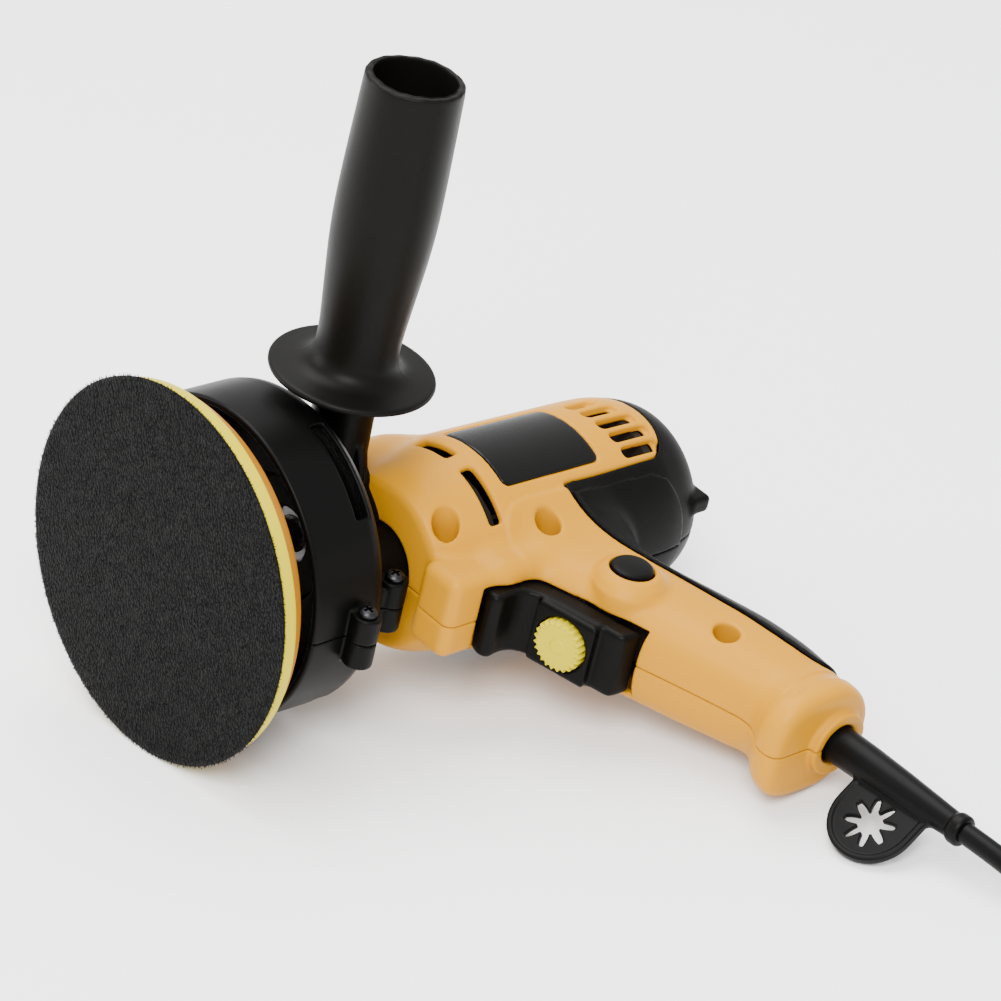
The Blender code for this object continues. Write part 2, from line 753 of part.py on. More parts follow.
def make_housing():
    shapes = HousingShapes()
    for side, sign in (("left", 1), ("right", -1)):
        housing = shapes.shell(f"housing_{side}", "yellow")
        pillars, wells = screw_cutters(side, sign)
        join(housing, *pillars)
        if side == "left":
            collar = cylinder_mesh("lock_collar", 16.5, 22.0, 15.0, MEDIUM, end_radius=9.2)
            join(housing, cutter("lock_collar", collar, (LOCK_X, 0, LOCK_Z), ALONG_Y))
            wells.append(
                cutter(
                    "lock_hole", cylinder_mesh("lock_hole", 10, 30, LOCK_RADIUS + GAP, MEDIUM),
                    (LOCK_X, 0, LOCK_Z), ALONG_Y,
                ),
            )
        label = ring_sector(
            "label_seat", LABEL_RADIUS - 1.0, 40, (LABEL_ANGLES[0] - 0.5, LABEL_ANGLES[1] + 0.5),
            LABEL_FRONT + GAP, LABEL_BACK - GAP, sign,
        )
        wells.append(cutter(f"label_seat_{side}", label, (0, 0, MOTOR_Z), ALONG_X))
        cut(
            housing, shapes.trigger_way, shapes.cord_hole, shapes.relief_seat, *shapes.nose_holes,
            *vent_cutters(side, sign), *wells,
        )
        cut(housing, shapes.rear_region, shapes.other_half[side])
        plate = ring_sector(
            "label", LABEL_RADIUS - 0.7, LABEL_RADIUS + 0.2, LABEL_ANGLES, LABEL_FRONT, LABEL_BACK, sign,
        )
        piece(f"label_{side}", plate, "black", (0, 0, MOTOR_Z), ALONG_X)
        cover = shapes.shell(f"rear_cover_{side}", "black")
        boolean(cover, "INTERSECT", shapes.rear_keep)
        cut(cover, shapes.other_half[side])


def screw_cutters(side, sign):
    """The pillars that meet at the parting plane, and the wells and threads cut in them."""
    pillars, wells = [], []
    for name, (x, z, reach) in SCREW_PLACES.items():
        end = reach * sign
        start = 0.0
        pillars.append(
            cutter(
                f"pillar_{side}_{name}",
                cylinder_mesh("pillar", min(start, end), max(start, end), PILLAR_RADIUS, SMALL),
                (x, 0, z), ALONG_Y,
            ),
        )
        if side == "left":
            wells.append(
                cutter(
                    f"well_{name}", cylinder_mesh("well", SCREW_HEAD_Y - 0.3, 40, 3.9, SMALL), (x, 0, z),
                    ALONG_Y,
                ),
            )
            wells.append(
                cutter(f"hole_{name}", cylinder_mesh("hole", -1, 12, 2.1, SMALL), (x, 0, z), ALONG_Y),
            )
        else:
            wells.append(
                cutter(
                    f"thread_{name}", cylinder_mesh("thread", -12.5, 1, 2.1, SMALL), (x, 0, z), ALONG_Y,
                ),
            )
    return pillars, wells


def screw_profile(head_radius, shank_radius, length, head=2.6):
    """A pan-head screw along local z: the head's underside is at 0 and the shank runs down."""
    return [
        (head, 0), (head, head_radius * 0.6), (head * 0.6, head_radius), (0, head_radius),
        (0, shank_radius), (-length + 1.5, shank_radius), (-length, 0),
    ]


def make_screws():
    for name, (x, z, _) in SCREW_PLACES.items():
        turned_piece(
            f"housing_screw_{name}", screw_profile(3.5, 1.8, 19), "steel", SMALL, (x, SCREW_HEAD_Y, z),
            ALONG_Y,
        )


# ---------------------------------------------------------------- shroud and side handle


def shroud_profile():
    inner = SHROUD_RADIUS - SHROUD_WALL
    back = SHROUD_BACK + SHROUD_WALL
    return [
        (
            SHROUD_FRONT, SHROUD_RADIUS,
        ), (-46, SHROUD_RADIUS), (-50.2, 51.2), (SHROUD_BACK, 46.5), (SHROUD_BACK, COLLAR_RADIUS),
        (
            COLLAR_BACK, COLLAR_RADIUS,
        ), (
            COLLAR_BACK, COLLAR_BORE,
        ), (back, COLLAR_BORE), (back, 46), (-45.6, inner), (SHROUD_FRONT, inner),
    ]


def make_shroud():
    boss_way = cutter(
        "boss_way", cylinder_mesh("boss_way", -75, -55, BOSS_RADIUS + 0.4, MEDIUM), (0, 0, MOTOR_Z),
        ALONG_X,
    )
    inside = cutter("shroud_inside", cylinder_mesh("shroud_inside", -49.0, 0, 50.0, LARGE), turn=ALONG_X)
    for side, sign in (("left", 1), ("right", -1)):
        shroud = turned_piece(f"shroud_{side}", shroud_profile(), "black", 40)
        low, high = sorted((-90.0 * sign, GAP / 2 * sign))
        half = cutter(f"shroud_half_{side}", box_mesh("half", (-100, low, -90), (0, high, 90)))
        holes = []
        for name, (x, z) in SHROUD_SCREWS.items():
            low, high = sorted((-1.0 * sign, 9.0 * sign))
            join(
                shroud,
                cutter(
                    f"lug_{side}_{name}", cylinder_mesh("lug", low, high, LUG_RADIUS, SMALL), (x, 0, z),
                    ALONG_Y,
                ),
            )
            low, high = sorted((-2.0 * sign, 12.0 if side == "left" else -7.0))
            holes.append(
                cutter(
                    f"lug_hole_{side}_{name}", cylinder_mesh("lug_hole", low, high, 1.9, SMALL),
                    (x, 0, z), ALONG_Y,
                ),
            )
        low, high = sorted((-1.0 * sign, 8.0 * sign))
        web = cutter(f"collar_web_{side}", box_mesh("web", (-63, low, -47.5), (-50.5, high, -40.5)))
        join(shroud, web)
        windows = [
            cutter(
                f"window_{side}",
                slab_mesh(
                    "window",
                    [(-y, x) for x, y in sector(49.5, 58, *((-48, -12) if sign > 0 else (192, 228)), 8)],
                    -46.5, -41.5,
                ),
                turn=ALONG_X,
            )
        ]
        if side == "left":
            post = cylinder_mesh("post", 24.2, HANDLE_BASE - GAP, POST_RADIUS, MEDIUM)
            join(shroud, cutter("handle_post", post, (HANDLE_X, 0, 0), ALONG_Y))
            holes.append(
                cutter(
                    "stud_hole", cylinder_mesh("stud_hole", 32, 60, STUD_RADIUS + GAP, SMALL),
                    (HANDLE_X, 0, 0), ALONG_Y,
                ),
            )
        cut(shroud, inside, boss_way, *holes, *windows, half)
    for name, (x, z) in SHROUD_SCREWS.items():
        turned_piece(
            f"shroud_screw_{name}", screw_profile(3.2, 1.6, 14.5, head=2.2), "steel", SMALL, (x, 9.3, z),
            ALONG_Y,
        )


def make_side_handle():
    """A saucer flange under a hollow, slightly barrelled tube, screwed to the collar's post by a stud."""
    handle = [
        (
            HANDLE_BASE, STUD_RADIUS + GAP,
        ), (HANDLE_BASE, 12.5), (55.2, 14), (56.2, 24), (57.6, 26.7), (58.8, 27.0), (59.6, 26.2), (60.2, 20),
        (62.5, 15.6), (67, 13.6), (80, 14.2), (95, 15.4), (112, 16.2), (130, 16.2), (148, 15.9),
        (161.2, 15.5), (HANDLE_TOP, 14.8),
        (HANDLE_TOP, 13.4), (161.2, 13.0), (76, 11.5), (74, 10), (74, 0), (71, 0), (
            71, STUD_RADIUS + GAP,
        ),
    ]
    turned_piece("side_handle", handle, "black", MEDIUM, (HANDLE_X, 0, 0), ALONG_Y)
    stud = [(32.3, 0), (32.3, STUD_RADIUS), (70, STUD_RADIUS), (70.7, STUD_RADIUS - 0.7), (70.7, 0)]
    turned_piece("handle_stud", stud, "steel", SMALL, (HANDLE_X, 0, 0), ALONG_Y)


# ---------------------------------------------------------------- controls


def make_trigger():
    outline = [
        (-82.4, TRIGGER_TOP), (-82.9, -67.4), (-87.5, -69.2), (-92.5, -71.0), (-96.0, -74.0),
        (-97.6, -78.5), (-100.0, -88.0),
        (-104.4, TRIGGER_BOTTOM), (-112.2, TRIGGER_BOTTOM), (-107.4, -86.0), (-105.2, TRIGGER_TOP),
    ]
    w = TRIGGER_HALF_WIDTH
    trigger = bevel(piece("trigger", flank_slab("trigger", outline, -w, w), "black", turn=ALONG_Y), 1.2)
    tilt = Matrix.Rotation(radians(90 + DIAL_TILT), 4, "Y")  # turns local z to the dial's axis
    x, z = DIAL_CENTRE
    cut(
        trigger,
        cutter(
            "dial_well", cylinder_mesh("dial_well", -DIAL_THICKNESS - GAP, 6, DIAL_RADIUS + 0.4, MEDIUM),
            (x, 0, z), tilt,
        ),
    )
    knurl = toothed((0, 0), 24, DIAL_RADIUS - 0.7, DIAL_RADIUS, tip_share=0.3)
    dial = piece(
        "speed_dial", slab_mesh("speed_dial", knurl, -DIAL_THICKNESS, 0), "lemon", (x, 0, z), tilt,
    )
    shade(dial, 20)

    lock = [
        (10.6, 0), (10.6, 4.5), (11.6, 4.5), (11.6, 8.0), (12.4, 8.0), (12.4, LOCK_RADIUS),
        (22.6, LOCK_RADIUS), (
            23.6, LOCK_RADIUS - 1.2,
        ),
        (23.9, 0),
    ]
    turned_piece("lock_button", lock, "black", MEDIUM, (LOCK_X, 0, LOCK_Z), ALONG_Y)
    bevel(
        piece("switch_body", box_mesh("switch_body", (-143, -7.0, -101), (-120.5, 7.0, -71)), "grey"),
        1.0, 1,
    )


# ---------------------------------------------------------------- cord


def axis_turn(direction):
    """Turns local z to a direction of the tool frame."""
    return Vector((0, 0, 1)).rotation_difference(Vector(direction)).to_matrix().to_4x4()


def make_strain_relief():
    """A tapered boot with an end ring, and on it a rounded tab with an eight-ray hole for a key."""
    end = Vector(RELIEF_END)
    top = Vector((CORD_X, 0, RELIEF_TOP_Z))
    direction = (end - top).normalized()
    length = (end - top).length
    boot = [
        (0, 0), (0, 8.4), (2.0, 8.4), (2.0, 6.2), (10, 6.2), (30, 5.4), (length - 5, 4.4),
        (length - 3.4, 5.2), (length - 1, 5.2),
        (length, 4.4), (length, 0),
    ]
    turn = axis_turn(direction)
    relief = turned_piece("strain_relief", boot, "black", SMALL, tuple(top), turn)
    tab = slab_mesh("key_tab", tab_outline(), -1.4, 1.4, holes=[star_outline()])
    lean = turn @ Matrix.Rotation(radians(TAB_ANGLE), 4, "Z") @ Matrix.Rotation(radians(90), 4, "X")
    join(relief, cutter("key_tab", tab, tuple(top), lean))


def tab_outline():
    """In local x away from the boot and local y along it."""
    middle, radius = (TAB_START + TAB_END) / 2, (TAB_END - TAB_START) / 2
    round_end = arc((TAB_REACH - radius, middle), radius, -90, 90, 14)
    return [(3.5, TAB_START + 1), *round_end, (3.0, TAB_END - 1)]


def star_outline():
    middle = (TAB_START + TAB_END) / 2
    return toothed((TAB_REACH - 14.5, middle), 8, 4.4, 8.6, tip_share=0.16)


def tube(name, route, radius, colour):
    """A round cord along a smooth run of points in the world."""
    curve = bpy.data.curves.new(name, "CURVE")
    curve.dimensions = "3D"
    curve.bevel_depth = radius * MM
    curve.bevel_resolution = 2
    curve.use_fill_caps = True
    spline = curve.splines.new("POLY")
    spline.points.add(len(route) - 1)
    for point, place_mm in zip(spline.points, route):
        point.co = (*(Vector(place_mm) * MM), 1)
    obj = bpy.data.objects.new(name, curve)
    PARTS.objects.link(obj)
    curve.materials.append(MATERIALS[colour])


def make_cord():
    tube("cord", CORD_ROUTE, CORD_RADIUS, "black")
    tube("cord_tail", TAIL_ROUTE, CORD_RADIUS, "black")
    centre = (*COIL_CENTRE, 0)
    (low, high), (inner, outer) = COIL_HEIGHTS, COIL_RADII
    turned_piece(
        "cord_coil", ring_profile(low, high, inner, outer), "black", LARGE, centre, ALONG_Z, GROUND,
    )
    room = GAP + TIE_THICKNESS
    sag = 0.6  # the coil's flat facets stand this far inside its true radius
    band = box_mesh("tie", (inner - sag - room, -6, 0), (outer + room, 6, high + room))
    hollow = box_mesh("tie_room", (inner - sag - GAP, -9, low - GAP), (outer + GAP, 9, high + GAP))
    cut(
        piece("coil_tie", band, "black", centre, parent=GROUND),
        cutter("tie_room", hollow, centre, parent=GROUND),
    )


def make_plug():
    half = [size / 2 for size in PLUG_SIZE]
    bevel(
        piece(
            "plug_body", box_mesh("plug_body", [-h for h in half], half), "black", PLUG_CENTRE,
            parent=GROUND,
        ),
        4.0,
    )
    for i, side in enumerate((-1, 1)):
        at = (
            PLUG_CENTRE[0] - half[0] - GAP - PIN_LENGTH, PLUG_CENTRE[1] + side * PIN_SPACING / 2,
            PLUG_CENTRE[2],
        )
        mesh = cylinder_mesh("pin", 0, PIN_LENGTH, PIN_RADIUS, SMALL)
        piece(f"plug_pin_{i + 1}", mesh, "steel", at, ALONG_X, GROUND)


def make_cord_clamp():
    bevel(
        piece("cord_clamp", box_mesh("cord_clamp", (-152, -10, -152), (-135, 10, -148.5)), "grey"), 0.8,
        1,
    )


def build():
    make_pad()
    make_spindle()
    make_gears()
    make_gear_case()
    make_motor()
    make_housing()
    make_screws()
    make_shroud()
    make_side_handle()
    make_trigger()
    make_strain_relief()
    make_cord_clamp()
    make_cord()
    make_plug()


build()
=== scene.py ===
"""The looks of the rotary polisher: moulded shells, pad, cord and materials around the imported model."""

import json
import math
import random

import bmesh
import bpy
import numpy as np
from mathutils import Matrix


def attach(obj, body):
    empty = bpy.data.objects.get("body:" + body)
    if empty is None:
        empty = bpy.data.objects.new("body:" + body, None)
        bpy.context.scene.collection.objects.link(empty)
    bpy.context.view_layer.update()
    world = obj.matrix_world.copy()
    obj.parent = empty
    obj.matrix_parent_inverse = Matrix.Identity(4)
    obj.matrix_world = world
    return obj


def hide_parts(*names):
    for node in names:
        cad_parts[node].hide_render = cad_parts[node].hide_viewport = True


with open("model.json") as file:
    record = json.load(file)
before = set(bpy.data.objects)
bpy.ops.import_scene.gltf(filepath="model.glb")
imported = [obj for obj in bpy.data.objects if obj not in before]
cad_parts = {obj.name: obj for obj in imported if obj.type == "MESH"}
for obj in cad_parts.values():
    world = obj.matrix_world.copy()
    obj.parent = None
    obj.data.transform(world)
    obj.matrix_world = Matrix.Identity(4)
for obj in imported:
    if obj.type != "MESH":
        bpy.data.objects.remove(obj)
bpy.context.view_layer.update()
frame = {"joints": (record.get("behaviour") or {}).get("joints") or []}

import openvdb
from mathutils import Matrix, Vector

JOINTS = {joint["name"]: joint for joint in frame["joints"]}
MM = 0.001

# ---------------------------------------------------------------- the tool's own axes
# x runs forward along the spindle, y towards the side handle and z away from the grip. Millimetres.

X_AXIS = Vector(JOINTS["spindle_spin"]["axis"]).normalized()
Y_AXIS = -Vector(JOINTS["lock_press"]["axis"]).normalized()
Z_AXIS = X_AXIS.cross(Y_AXIS).normalized()
PAD_CENTRE = Vector(JOINTS["spindle_spin"]["pos_m"])
TURN = Matrix((X_AXIS, Y_AXIS, Z_AXIS)).transposed()
TOOL = Matrix.Translation(PAD_CENTRE) @ TURN.to_4x4() @ Matrix.Scale(MM, 4)
MOTOR_Z = -25.0
TOOL_ARRAY = np.array(TOOL)
GROUND_ARRAY = np.array(Matrix.Scale(MM, 4))

# ---------------------------------------------------------------- camera, floor and light

# In the tool's own axes, from the pad's centre: 1.2 m away, level, 48.7 degrees round and 29.8 degrees up.
CAMERA_LENS = 138.7
CAMERA_PLACE = Vector((692.6, 651.5, -740.3))
CAMERA_RIGHT = Vector((-0.73197, 0.20587, -0.64949))
CAMERA_UP = Vector((-0.21347, 0.83597, 0.50555))
CAMERA_BACK = Vector((0.64704, 0.50869, -0.56796))
FLOOR_RADIUS = 6.0
WORLD_STRENGTH = 1.45
LIGHT_TARGET = (0, 0, 0.05)
# Name, place, size and power of each soft light.
LIGHTS = (
    ("key", (0.9, -0.9, 1.5), (0.9, 0.9), 62),
    ("top", (-0.5, 0.2, 1.6), (1.3, 1.3), 50),
    ("left", (-1.4, -1.2, 0.7), (0.8, 1.2), 26),
)


def make_camera():
    data = bpy.data.cameras.new("camera")
    camera = bpy.data.objects.new("camera", data)
    bpy.context.scene.collection.objects.link(camera)
    data.sensor_width = 36.0
    data.lens = CAMERA_LENS
    data.clip_end = 20
    turn = TOOL.to_3x3()
    camera.location = PAD_CENTRE + turn @ CAMERA_PLACE
    axes = [turn @ axis / MM for axis in (CAMERA_RIGHT, CAMERA_UP, CAMERA_BACK)]
    camera.rotation_euler = Matrix(axes).transposed().to_euler()
    bpy.context.scene.camera = camera


def area_light(name, location, size, power):
    data = bpy.data.lights.new(name, "AREA")
    data.shape = "RECTANGLE"
    data.size, data.size_y = size
    data.energy = power
    light = bpy.data.objects.new(name, data)
    bpy.context.scene.collection.objects.link(light)
    light.location = location
    light.rotation_euler = (Vector(LIGHT_TARGET) - Vector(location)).to_track_quat("-Z", "Y").to_euler()


def make_floor():
    bm = bmesh.new()
    bmesh.ops.create_circle(bm, cap_ends=True, radius=FLOOR_RADIUS, segments=64)
    mesh = bpy.data.meshes.new("floor")
    bm.to_mesh(mesh)
    bm.free()
    floor = bpy.data.objects.new("floor", mesh)
    bpy.context.scene.collection.objects.link(floor)
    floor.data.materials.append(plain_material("floor", (0.93, 0.93, 0.93), 0.9))


def make_studio():
    world = bpy.data.worlds.new("studio")
    world.use_nodes = True
    background = world.node_tree.nodes["Background"]
    background.inputs["Color"].default_value = (1.0, 1.0, 1.0, 1)
    background.inputs["Strength"].default_value = WORLD_STRENGTH
    bpy.context.scene.world = world
    for light in LIGHTS:
        area_light(*light)


# ---------------------------------------------------------------- materials


class Nodes:
    """Small helper over a material's node tree."""

    def __init__(self, name):
        self.material = bpy.data.materials.new(name)
        self.material.use_nodes = True
        self.tree = self.material.node_tree
        self.shader = self.tree.nodes["Principled BSDF"]

    def add(self, kind, **values):
        node = self.tree.nodes.new(kind)
        for key, value in values.items():
            if key in node.inputs:
                node.inputs[key].default_value = value
            else:
                setattr(node, key, value)
        return node

    def link(self, source, target):
        self.tree.links.new(source, target)

    def coordinates(self, scale=(1, 1, 1)):
        place = self.add("ShaderNodeTexCoord")
        mapping = self.add("ShaderNodeMapping")
        mapping.inputs["Scale"].default_value = scale
        self.link(place.outputs["Object"], mapping.inputs["Vector"])
        return mapping.outputs["Vector"]

    def noise(self, scale, detail=3.0, roughness=0.5, vector=None):
        node = self.add("ShaderNodeTexNoise", Scale=scale, Detail=detail, Roughness=roughness)
        self.link(vector or self.coordinates(), node.inputs["Vector"])
        return node.outputs["Fac"]

    def ramp(self, value, *stops):
        node = self.add("ShaderNodeValToRGB")
        ramp = node.color_ramp
        while len(ramp.elements) < len(stops):
            ramp.elements.new(0.5)
        for element, (position, colour) in zip(ramp.elements, stops):
            element.position = position
            element.color = (*colour, 1) if len(colour) == 3 else colour
        self.link(value, node.inputs["Fac"])
        return node.outputs["Color"]

    def spread(self, value, low, high):
        node = self.add("ShaderNodeMapRange")
        node.inputs["To Min"].default_value = low
        node.inputs["To Max"].default_value = high
        self.link(value, node.inputs["Value"])
        return node.outputs["Result"]

    def feed(self, name, source):
        self.link(source, self.shader.inputs[name])

    def feed_bump(self, height, strength, distance):
        """A bump of this height in metres, straight into the shader."""
        node = self.add("ShaderNodeBump", Strength=strength, Distance=distance)
        self.link(height, node.inputs["Height"])
        self.feed("Normal", node.outputs["Normal"])

    def set(self, **values):
        for key, value in values.items():
            self.shader.inputs[key.replace("_", " ")].default_value = value


def plain_material(name, colour, roughness):
    nodes = Nodes(name)
    nodes.set(Roughness=roughness)
    wander = nodes.ramp(nodes.noise(9.0), (0.3, [c * 0.99 for c in colour]), (0.7, colour))
    nodes.feed("Base Color", wander)
    return nodes.material


def moulded_plastic(name, colour, roughness, grain, shade, specular):
    """Spark-eroded plastic: a fine grain in the surface, a slow wander in gloss and a little in colour."""
    nodes = Nodes(name)
    slow = nodes.noise(28.0, 4.0)
    colours = nodes.ramp(slow, (0.35, [c * shade for c in colour]), (0.65, colour))
    nodes.feed("Base Color", colours)
    gloss = nodes.spread(nodes.noise(75.0, 6.0), roughness - 0.05, roughness + 0.06)
    nodes.feed("Roughness", gloss)
    nodes.feed_bump(nodes.noise(2600.0, 2.0), grain, 0.0002)
    nodes.set(IOR=1.48, Specular_IOR_Level=specular)
    return nodes.material


def metal(name, colour, roughness, stretch):
    nodes = Nodes(name)
    nodes.set(Metallic=1.0)
    lines = nodes.noise(900.0, 3.0, vector=nodes.coordinates(stretch))
    colours = nodes.ramp(lines, (0.3, [c * 0.8 for c in colour]), (0.7, colour))
    nodes.feed("Base Color", colours)
    nodes.feed("Roughness", nodes.spread(lines, roughness - 0.08, roughness + 0.1))
    nodes.feed_bump(lines, 0.15, 0.0001)
    return nodes.material


def hook_fleece():
    """Knitted rows of hooks: cells about a millimetre apart, each tip painted lighter as a painted highlight
    and the gaps between them painted dark as painted shade.
    """
    nodes = Nodes("hook_fleece")
    cells = nodes.add("ShaderNodeTexVoronoi", Scale=1050.0)
    nodes.link(nodes.coordinates((1.0, 1.0, 0.8)), cells.inputs["Vector"])
    tip_highlight_and_gap_shade = nodes.add("ShaderNodeMath", operation="MULTIPLY")
    nodes.link(cells.outputs["Distance"], tip_highlight_and_gap_shade.inputs[0])
    nodes.link(nodes.noise(260.0, 3.0), tip_highlight_and_gap_shade.inputs[1])
    # Painted highlight on each hook's tip and painted shade in the gaps between the hooks.
    tip, painted_shade_gap = (0.0065, 0.0065, 0.006), (0.0002, 0.0002, 0.0002)
    nodes.feed("Base Color", nodes.ramp(tip_highlight_and_gap_shade.outputs["Value"], (0.08, tip), (0.30, painted_shade_gap)))
    nodes.set(Roughness=0.55, Specular_IOR_Level=0.07)
    nodes.feed_bump(nodes.spread(cells.outputs["Distance"], 1.0, 0.0), 1.0, 0.0006)
    return nodes.material


def strap_weave():
    nodes = Nodes("strap_weave")
    wave = nodes.add("ShaderNodeTexWave", Scale=420.0, Distortion=1.0)
    nodes.link(nodes.coordinates((1, 1, 0.4)), wave.inputs["Vector"])
    dark, light = (0.003, 0.003, 0.003), (0.02, 0.02, 0.02)
    nodes.feed("Base Color", nodes.ramp(wave.outputs["Fac"], (0.2, dark), (0.8, light)))
    nodes.feed_bump(wave.outputs["Fac"], 0.5, 0.0003)
    nodes.set(Roughness=0.9)
    return nodes.material


# Name, colour, roughness, grain, shade of the darker patches, and specular level.
PLASTICS = {
    "yellow": ("housing_yellow", (0.46, 0.198, 0.0), 0.42, 0.05, 0.965, 0.12),
    "lemon": ("lemon_yellow", (0.50, 0.41, 0.0), 0.42, 0.05, 0.97, 0.12),
    # The dome: the pad's yellow painted darker orange as painted shade.
    "pad_dome_shade": ("pad_moulding", (0.34, 0.13, 0.0), 0.5, 0.05, 0.93, 0.1),
    "black": ("moulded_black", (0.0016, 0.0015, 0.0013), 0.40, 0.12, 0.93, 0.07),
    "shroud": ("shroud_black", (0.0014, 0.0014, 0.0013), 0.38, 0.10, 0.93, 0.07),
    "handle": ("handle_black", (0.0026, 0.0024, 0.0019), 0.42, 0.16, 0.93, 0.075),
    "soft": ("overmould_black", (0.0018, 0.0017, 0.0015), 0.46, 0.16, 0.93, 0.06),
    "label": ("label_black", (0.0018, 0.0016, 0.0014), 0.26, 0.02, 0.93, 0.13),
    "rubber": ("cord_rubber", (0.0014, 0.0014, 0.0014), 0.40, 0.1, 0.93, 0.08),
    # Inner parts seen through the vents: grey painted nearly black and warm, painted shade from inside the
    # casing.
    "grey": ("moulded_grey_in_painted_shade", (0.016, 0.012, 0.009), 0.5, 0.05, 0.93, 0.1),
    "carbon": ("carbon_block", (0.01, 0.01, 0.01), 0.7, 0.05, 0.93, 0.1),
}
# Name, colour, roughness and how far the grain is stretched.
METALS = {
    "steel": ("machined_steel", (0.30, 0.30, 0.305), 0.3, (1, 1, 1)),
    "dark_steel": ("blackened_steel", (0.03, 0.03, 0.032), 0.38, (1, 1, 1)),
    # Laminations and copper are painted far darker than the real metals, as painted shade inside the casing.
    "laminate": ("stacked_sheet_steel_in_painted_shade", (0.018, 0.015, 0.013), 0.45, (1, 14, 1)),
    "copper": ("copper", (0.12, 0.035, 0.012), 0.35, (1, 1, 1)),
}


def make_materials():
    made = {key: moulded_plastic(*row) for key, row in PLASTICS.items()}
    made["hook"] = hook_fleece()
    made["strap"] = strap_weave()
    made.update({key: metal(*row) for key, row in METALS.items()})
    return made


# ---------------------------------------------------------------- solids as distances on a grid


def blend_min(a, b, width):
    """The union of two solids, with a fillet of about this width in millimetres."""
    if not width:
        return np.minimum(a, b)
    mix = np.clip(0.5 + 0.5 * (b - a) / width, 0, 1)
    return b * (1 - mix) + a * mix - width * mix * (1 - mix)


def blend_max(a, b, width):
    """What two solids share, with its edge rounded."""
    return -blend_min(-a, -b, width)


def carve(solid, hole, width=0.6):
    return blend_max(solid, -hole, width)


def outline_distance(u, v, points):
    """How far each (u, v) is outside a closed outline: negative inside it."""
    u, v = np.broadcast_arrays(u, v)
    nearest = np.full(u.shape, np.inf)
    inside = np.zeros(u.shape, bool)
    for (ax, ay), (bx, by) in zip(points, points[1:] + points[:1]):
        ex, ey = bx - ax, by - ay
        share = np.clip(((u - ax) * ex + (v - ay) * ey) / max(ex * ex + ey * ey, 1e-9), 0, 1)
        nearest = np.minimum(nearest, (u - ax - share * ex) ** 2 + (v - ay - share * ey) ** 2)
        if ay != by:
            inside ^= ((ay > v) != (by > v)) & (u < ex * (v - ay) / ey + ax)
    return np.where(inside, -1, 1) * np.sqrt(nearest)


def smooth(points, closed=False, steps=6):
    """A Catmull-Rom curve through the points."""
    points = [np.array(p, float) for p in points]
    last = len(points)
    made = []
    for i in range(last if closed else last - 1):
        near = [j % last if closed else min(max(j, 0), last - 1) for j in (i - 1, i, i + 1, i + 2)]
        a, b, c, d = (points[j] for j in near)
        for step in range(steps):
            t = step / steps
            bend = (2 * a - 5 * b + 4 * c - d) * t**2 + (3 * b - a - 3 * c + d) * t**3
            made.append(tuple(0.5 * (2 * b + (c - a) * t + bend)))
    if not closed:
        made.append(tuple(points[-1]))
    return made


def pill(u, v, centre, half, corner):
    """A rectangle with round corners."""
    du = np.abs(u - centre[0]) - half[0] + corner
    dv = np.abs(v - centre[1]) - half[1] + corner
    return np.hypot(np.maximum(du, 0), np.maximum(dv, 0)) + np.minimum(np.maximum(du, dv), 0) - corner


class Grid:
    """Evenly spaced points of the tool's frame, on which solids are worked out as distances."""

    def __init__(self, low, high, step):
        self.low, self.step = np.array(low, float), step
        self.axes = [np.arange(a, b + step, step) for a, b in zip(low, high)]
        self.x, self.y, self.z = np.ix_(*self.axes)

    def turned(self, profile, axis="x", centre=(0, 0)):
        """A solid turned about an axis along x, y or z, from its half outline (along, radius)."""
        if profile[0][1] == 0 and profile[-1][1] == 0:
            profile = profile + [(along, -radius) for along, radius in profile[::-1]]
        index = "xyz".index(axis)
        others = [self.axes[k] for k in range(3) if k != index]
        radius = np.hypot(others[0][:, None] - centre[0], others[1][None, :] - centre[1])
        pace = self.step / 2
        radii = np.arange(0, radius.max() + 2 * pace, pace)
        table = outline_distance(self.axes[index][:, None], radii[None, :], profile)
        spot = radius / pace
        whole = spot.astype(int)
        part = spot - whole
        field = table[:, whole] * (1 - part) + table[:, whole + 1] * part
        return np.moveaxis(field, 0, index)

    def rod(self, axis, centre, radius, low, high, end_radius=None):
        far = radius if end_radius is None else end_radius
        return self.turned([(low, 0), (low, radius), (high, far), (high, 0)], axis, centre)

    def flank(self, outline, low=-99, high=99, edge=0.0):
        """An outline in x and z, drawn out along y."""
        flat = outline_distance(self.axes[0][:, None], self.axes[2][None, :], outline)[:, None, :]
        return blend_max(flat, np.maximum(low - self.y, self.y - high), edge)

    def block(self, low, high, corner=0.0):
        parts = []
        for axis, a, b in zip((self.x, self.y, self.z), low, high):
            parts.append(np.abs(axis - (a + b) / 2) - (b - a) / 2 + corner)
        outside = np.sqrt(sum(np.maximum(p, 0) ** 2 for p in parts))
        return outside + np.minimum(np.maximum(np.maximum(parts[0], parts[1]), parts[2]), 0) - corner

    def mesh(self, field):
        """The solid's surface as points in the tool's frame and four-sided faces."""
        field = np.ascontiguousarray(np.clip(field, -3 * self.step, 3 * self.step), np.float32)
        field[[0, -1], :, :] = field[:, [0, -1], :] = field[:, :, [0, -1]] = 3 * self.step
        grid = openvdb.FloatGrid(3 * self.step)
        grid.copyFromArray(field)
        spots, quads = grid.convertToQuads(isovalue=0.0)
        spots = np.array(spots, float)
        for _ in range(2):
            spots -= self.step_to_surface(field, spots)
        return spots * self.step + self.low, quads

    def step_to_surface(self, field, spots):
        """How far, in grid steps, each spot must move along the slope to reach distance zero."""
        value = sample(field, spots)
        shifts = 0.5 * np.eye(3)
        slope = np.stack([sample(field, spots + shift) - sample(field, spots - shift) for shift in shifts], 1)
        size = (slope**2).sum(1)
        move = (value / np.maximum(size, 0.05 * self.step**2))[:, None] * slope
        length = np.linalg.norm(move, axis=1, keepdims=True)
        return move * np.minimum(1, 0.5 / np.maximum(length, 1e-9))


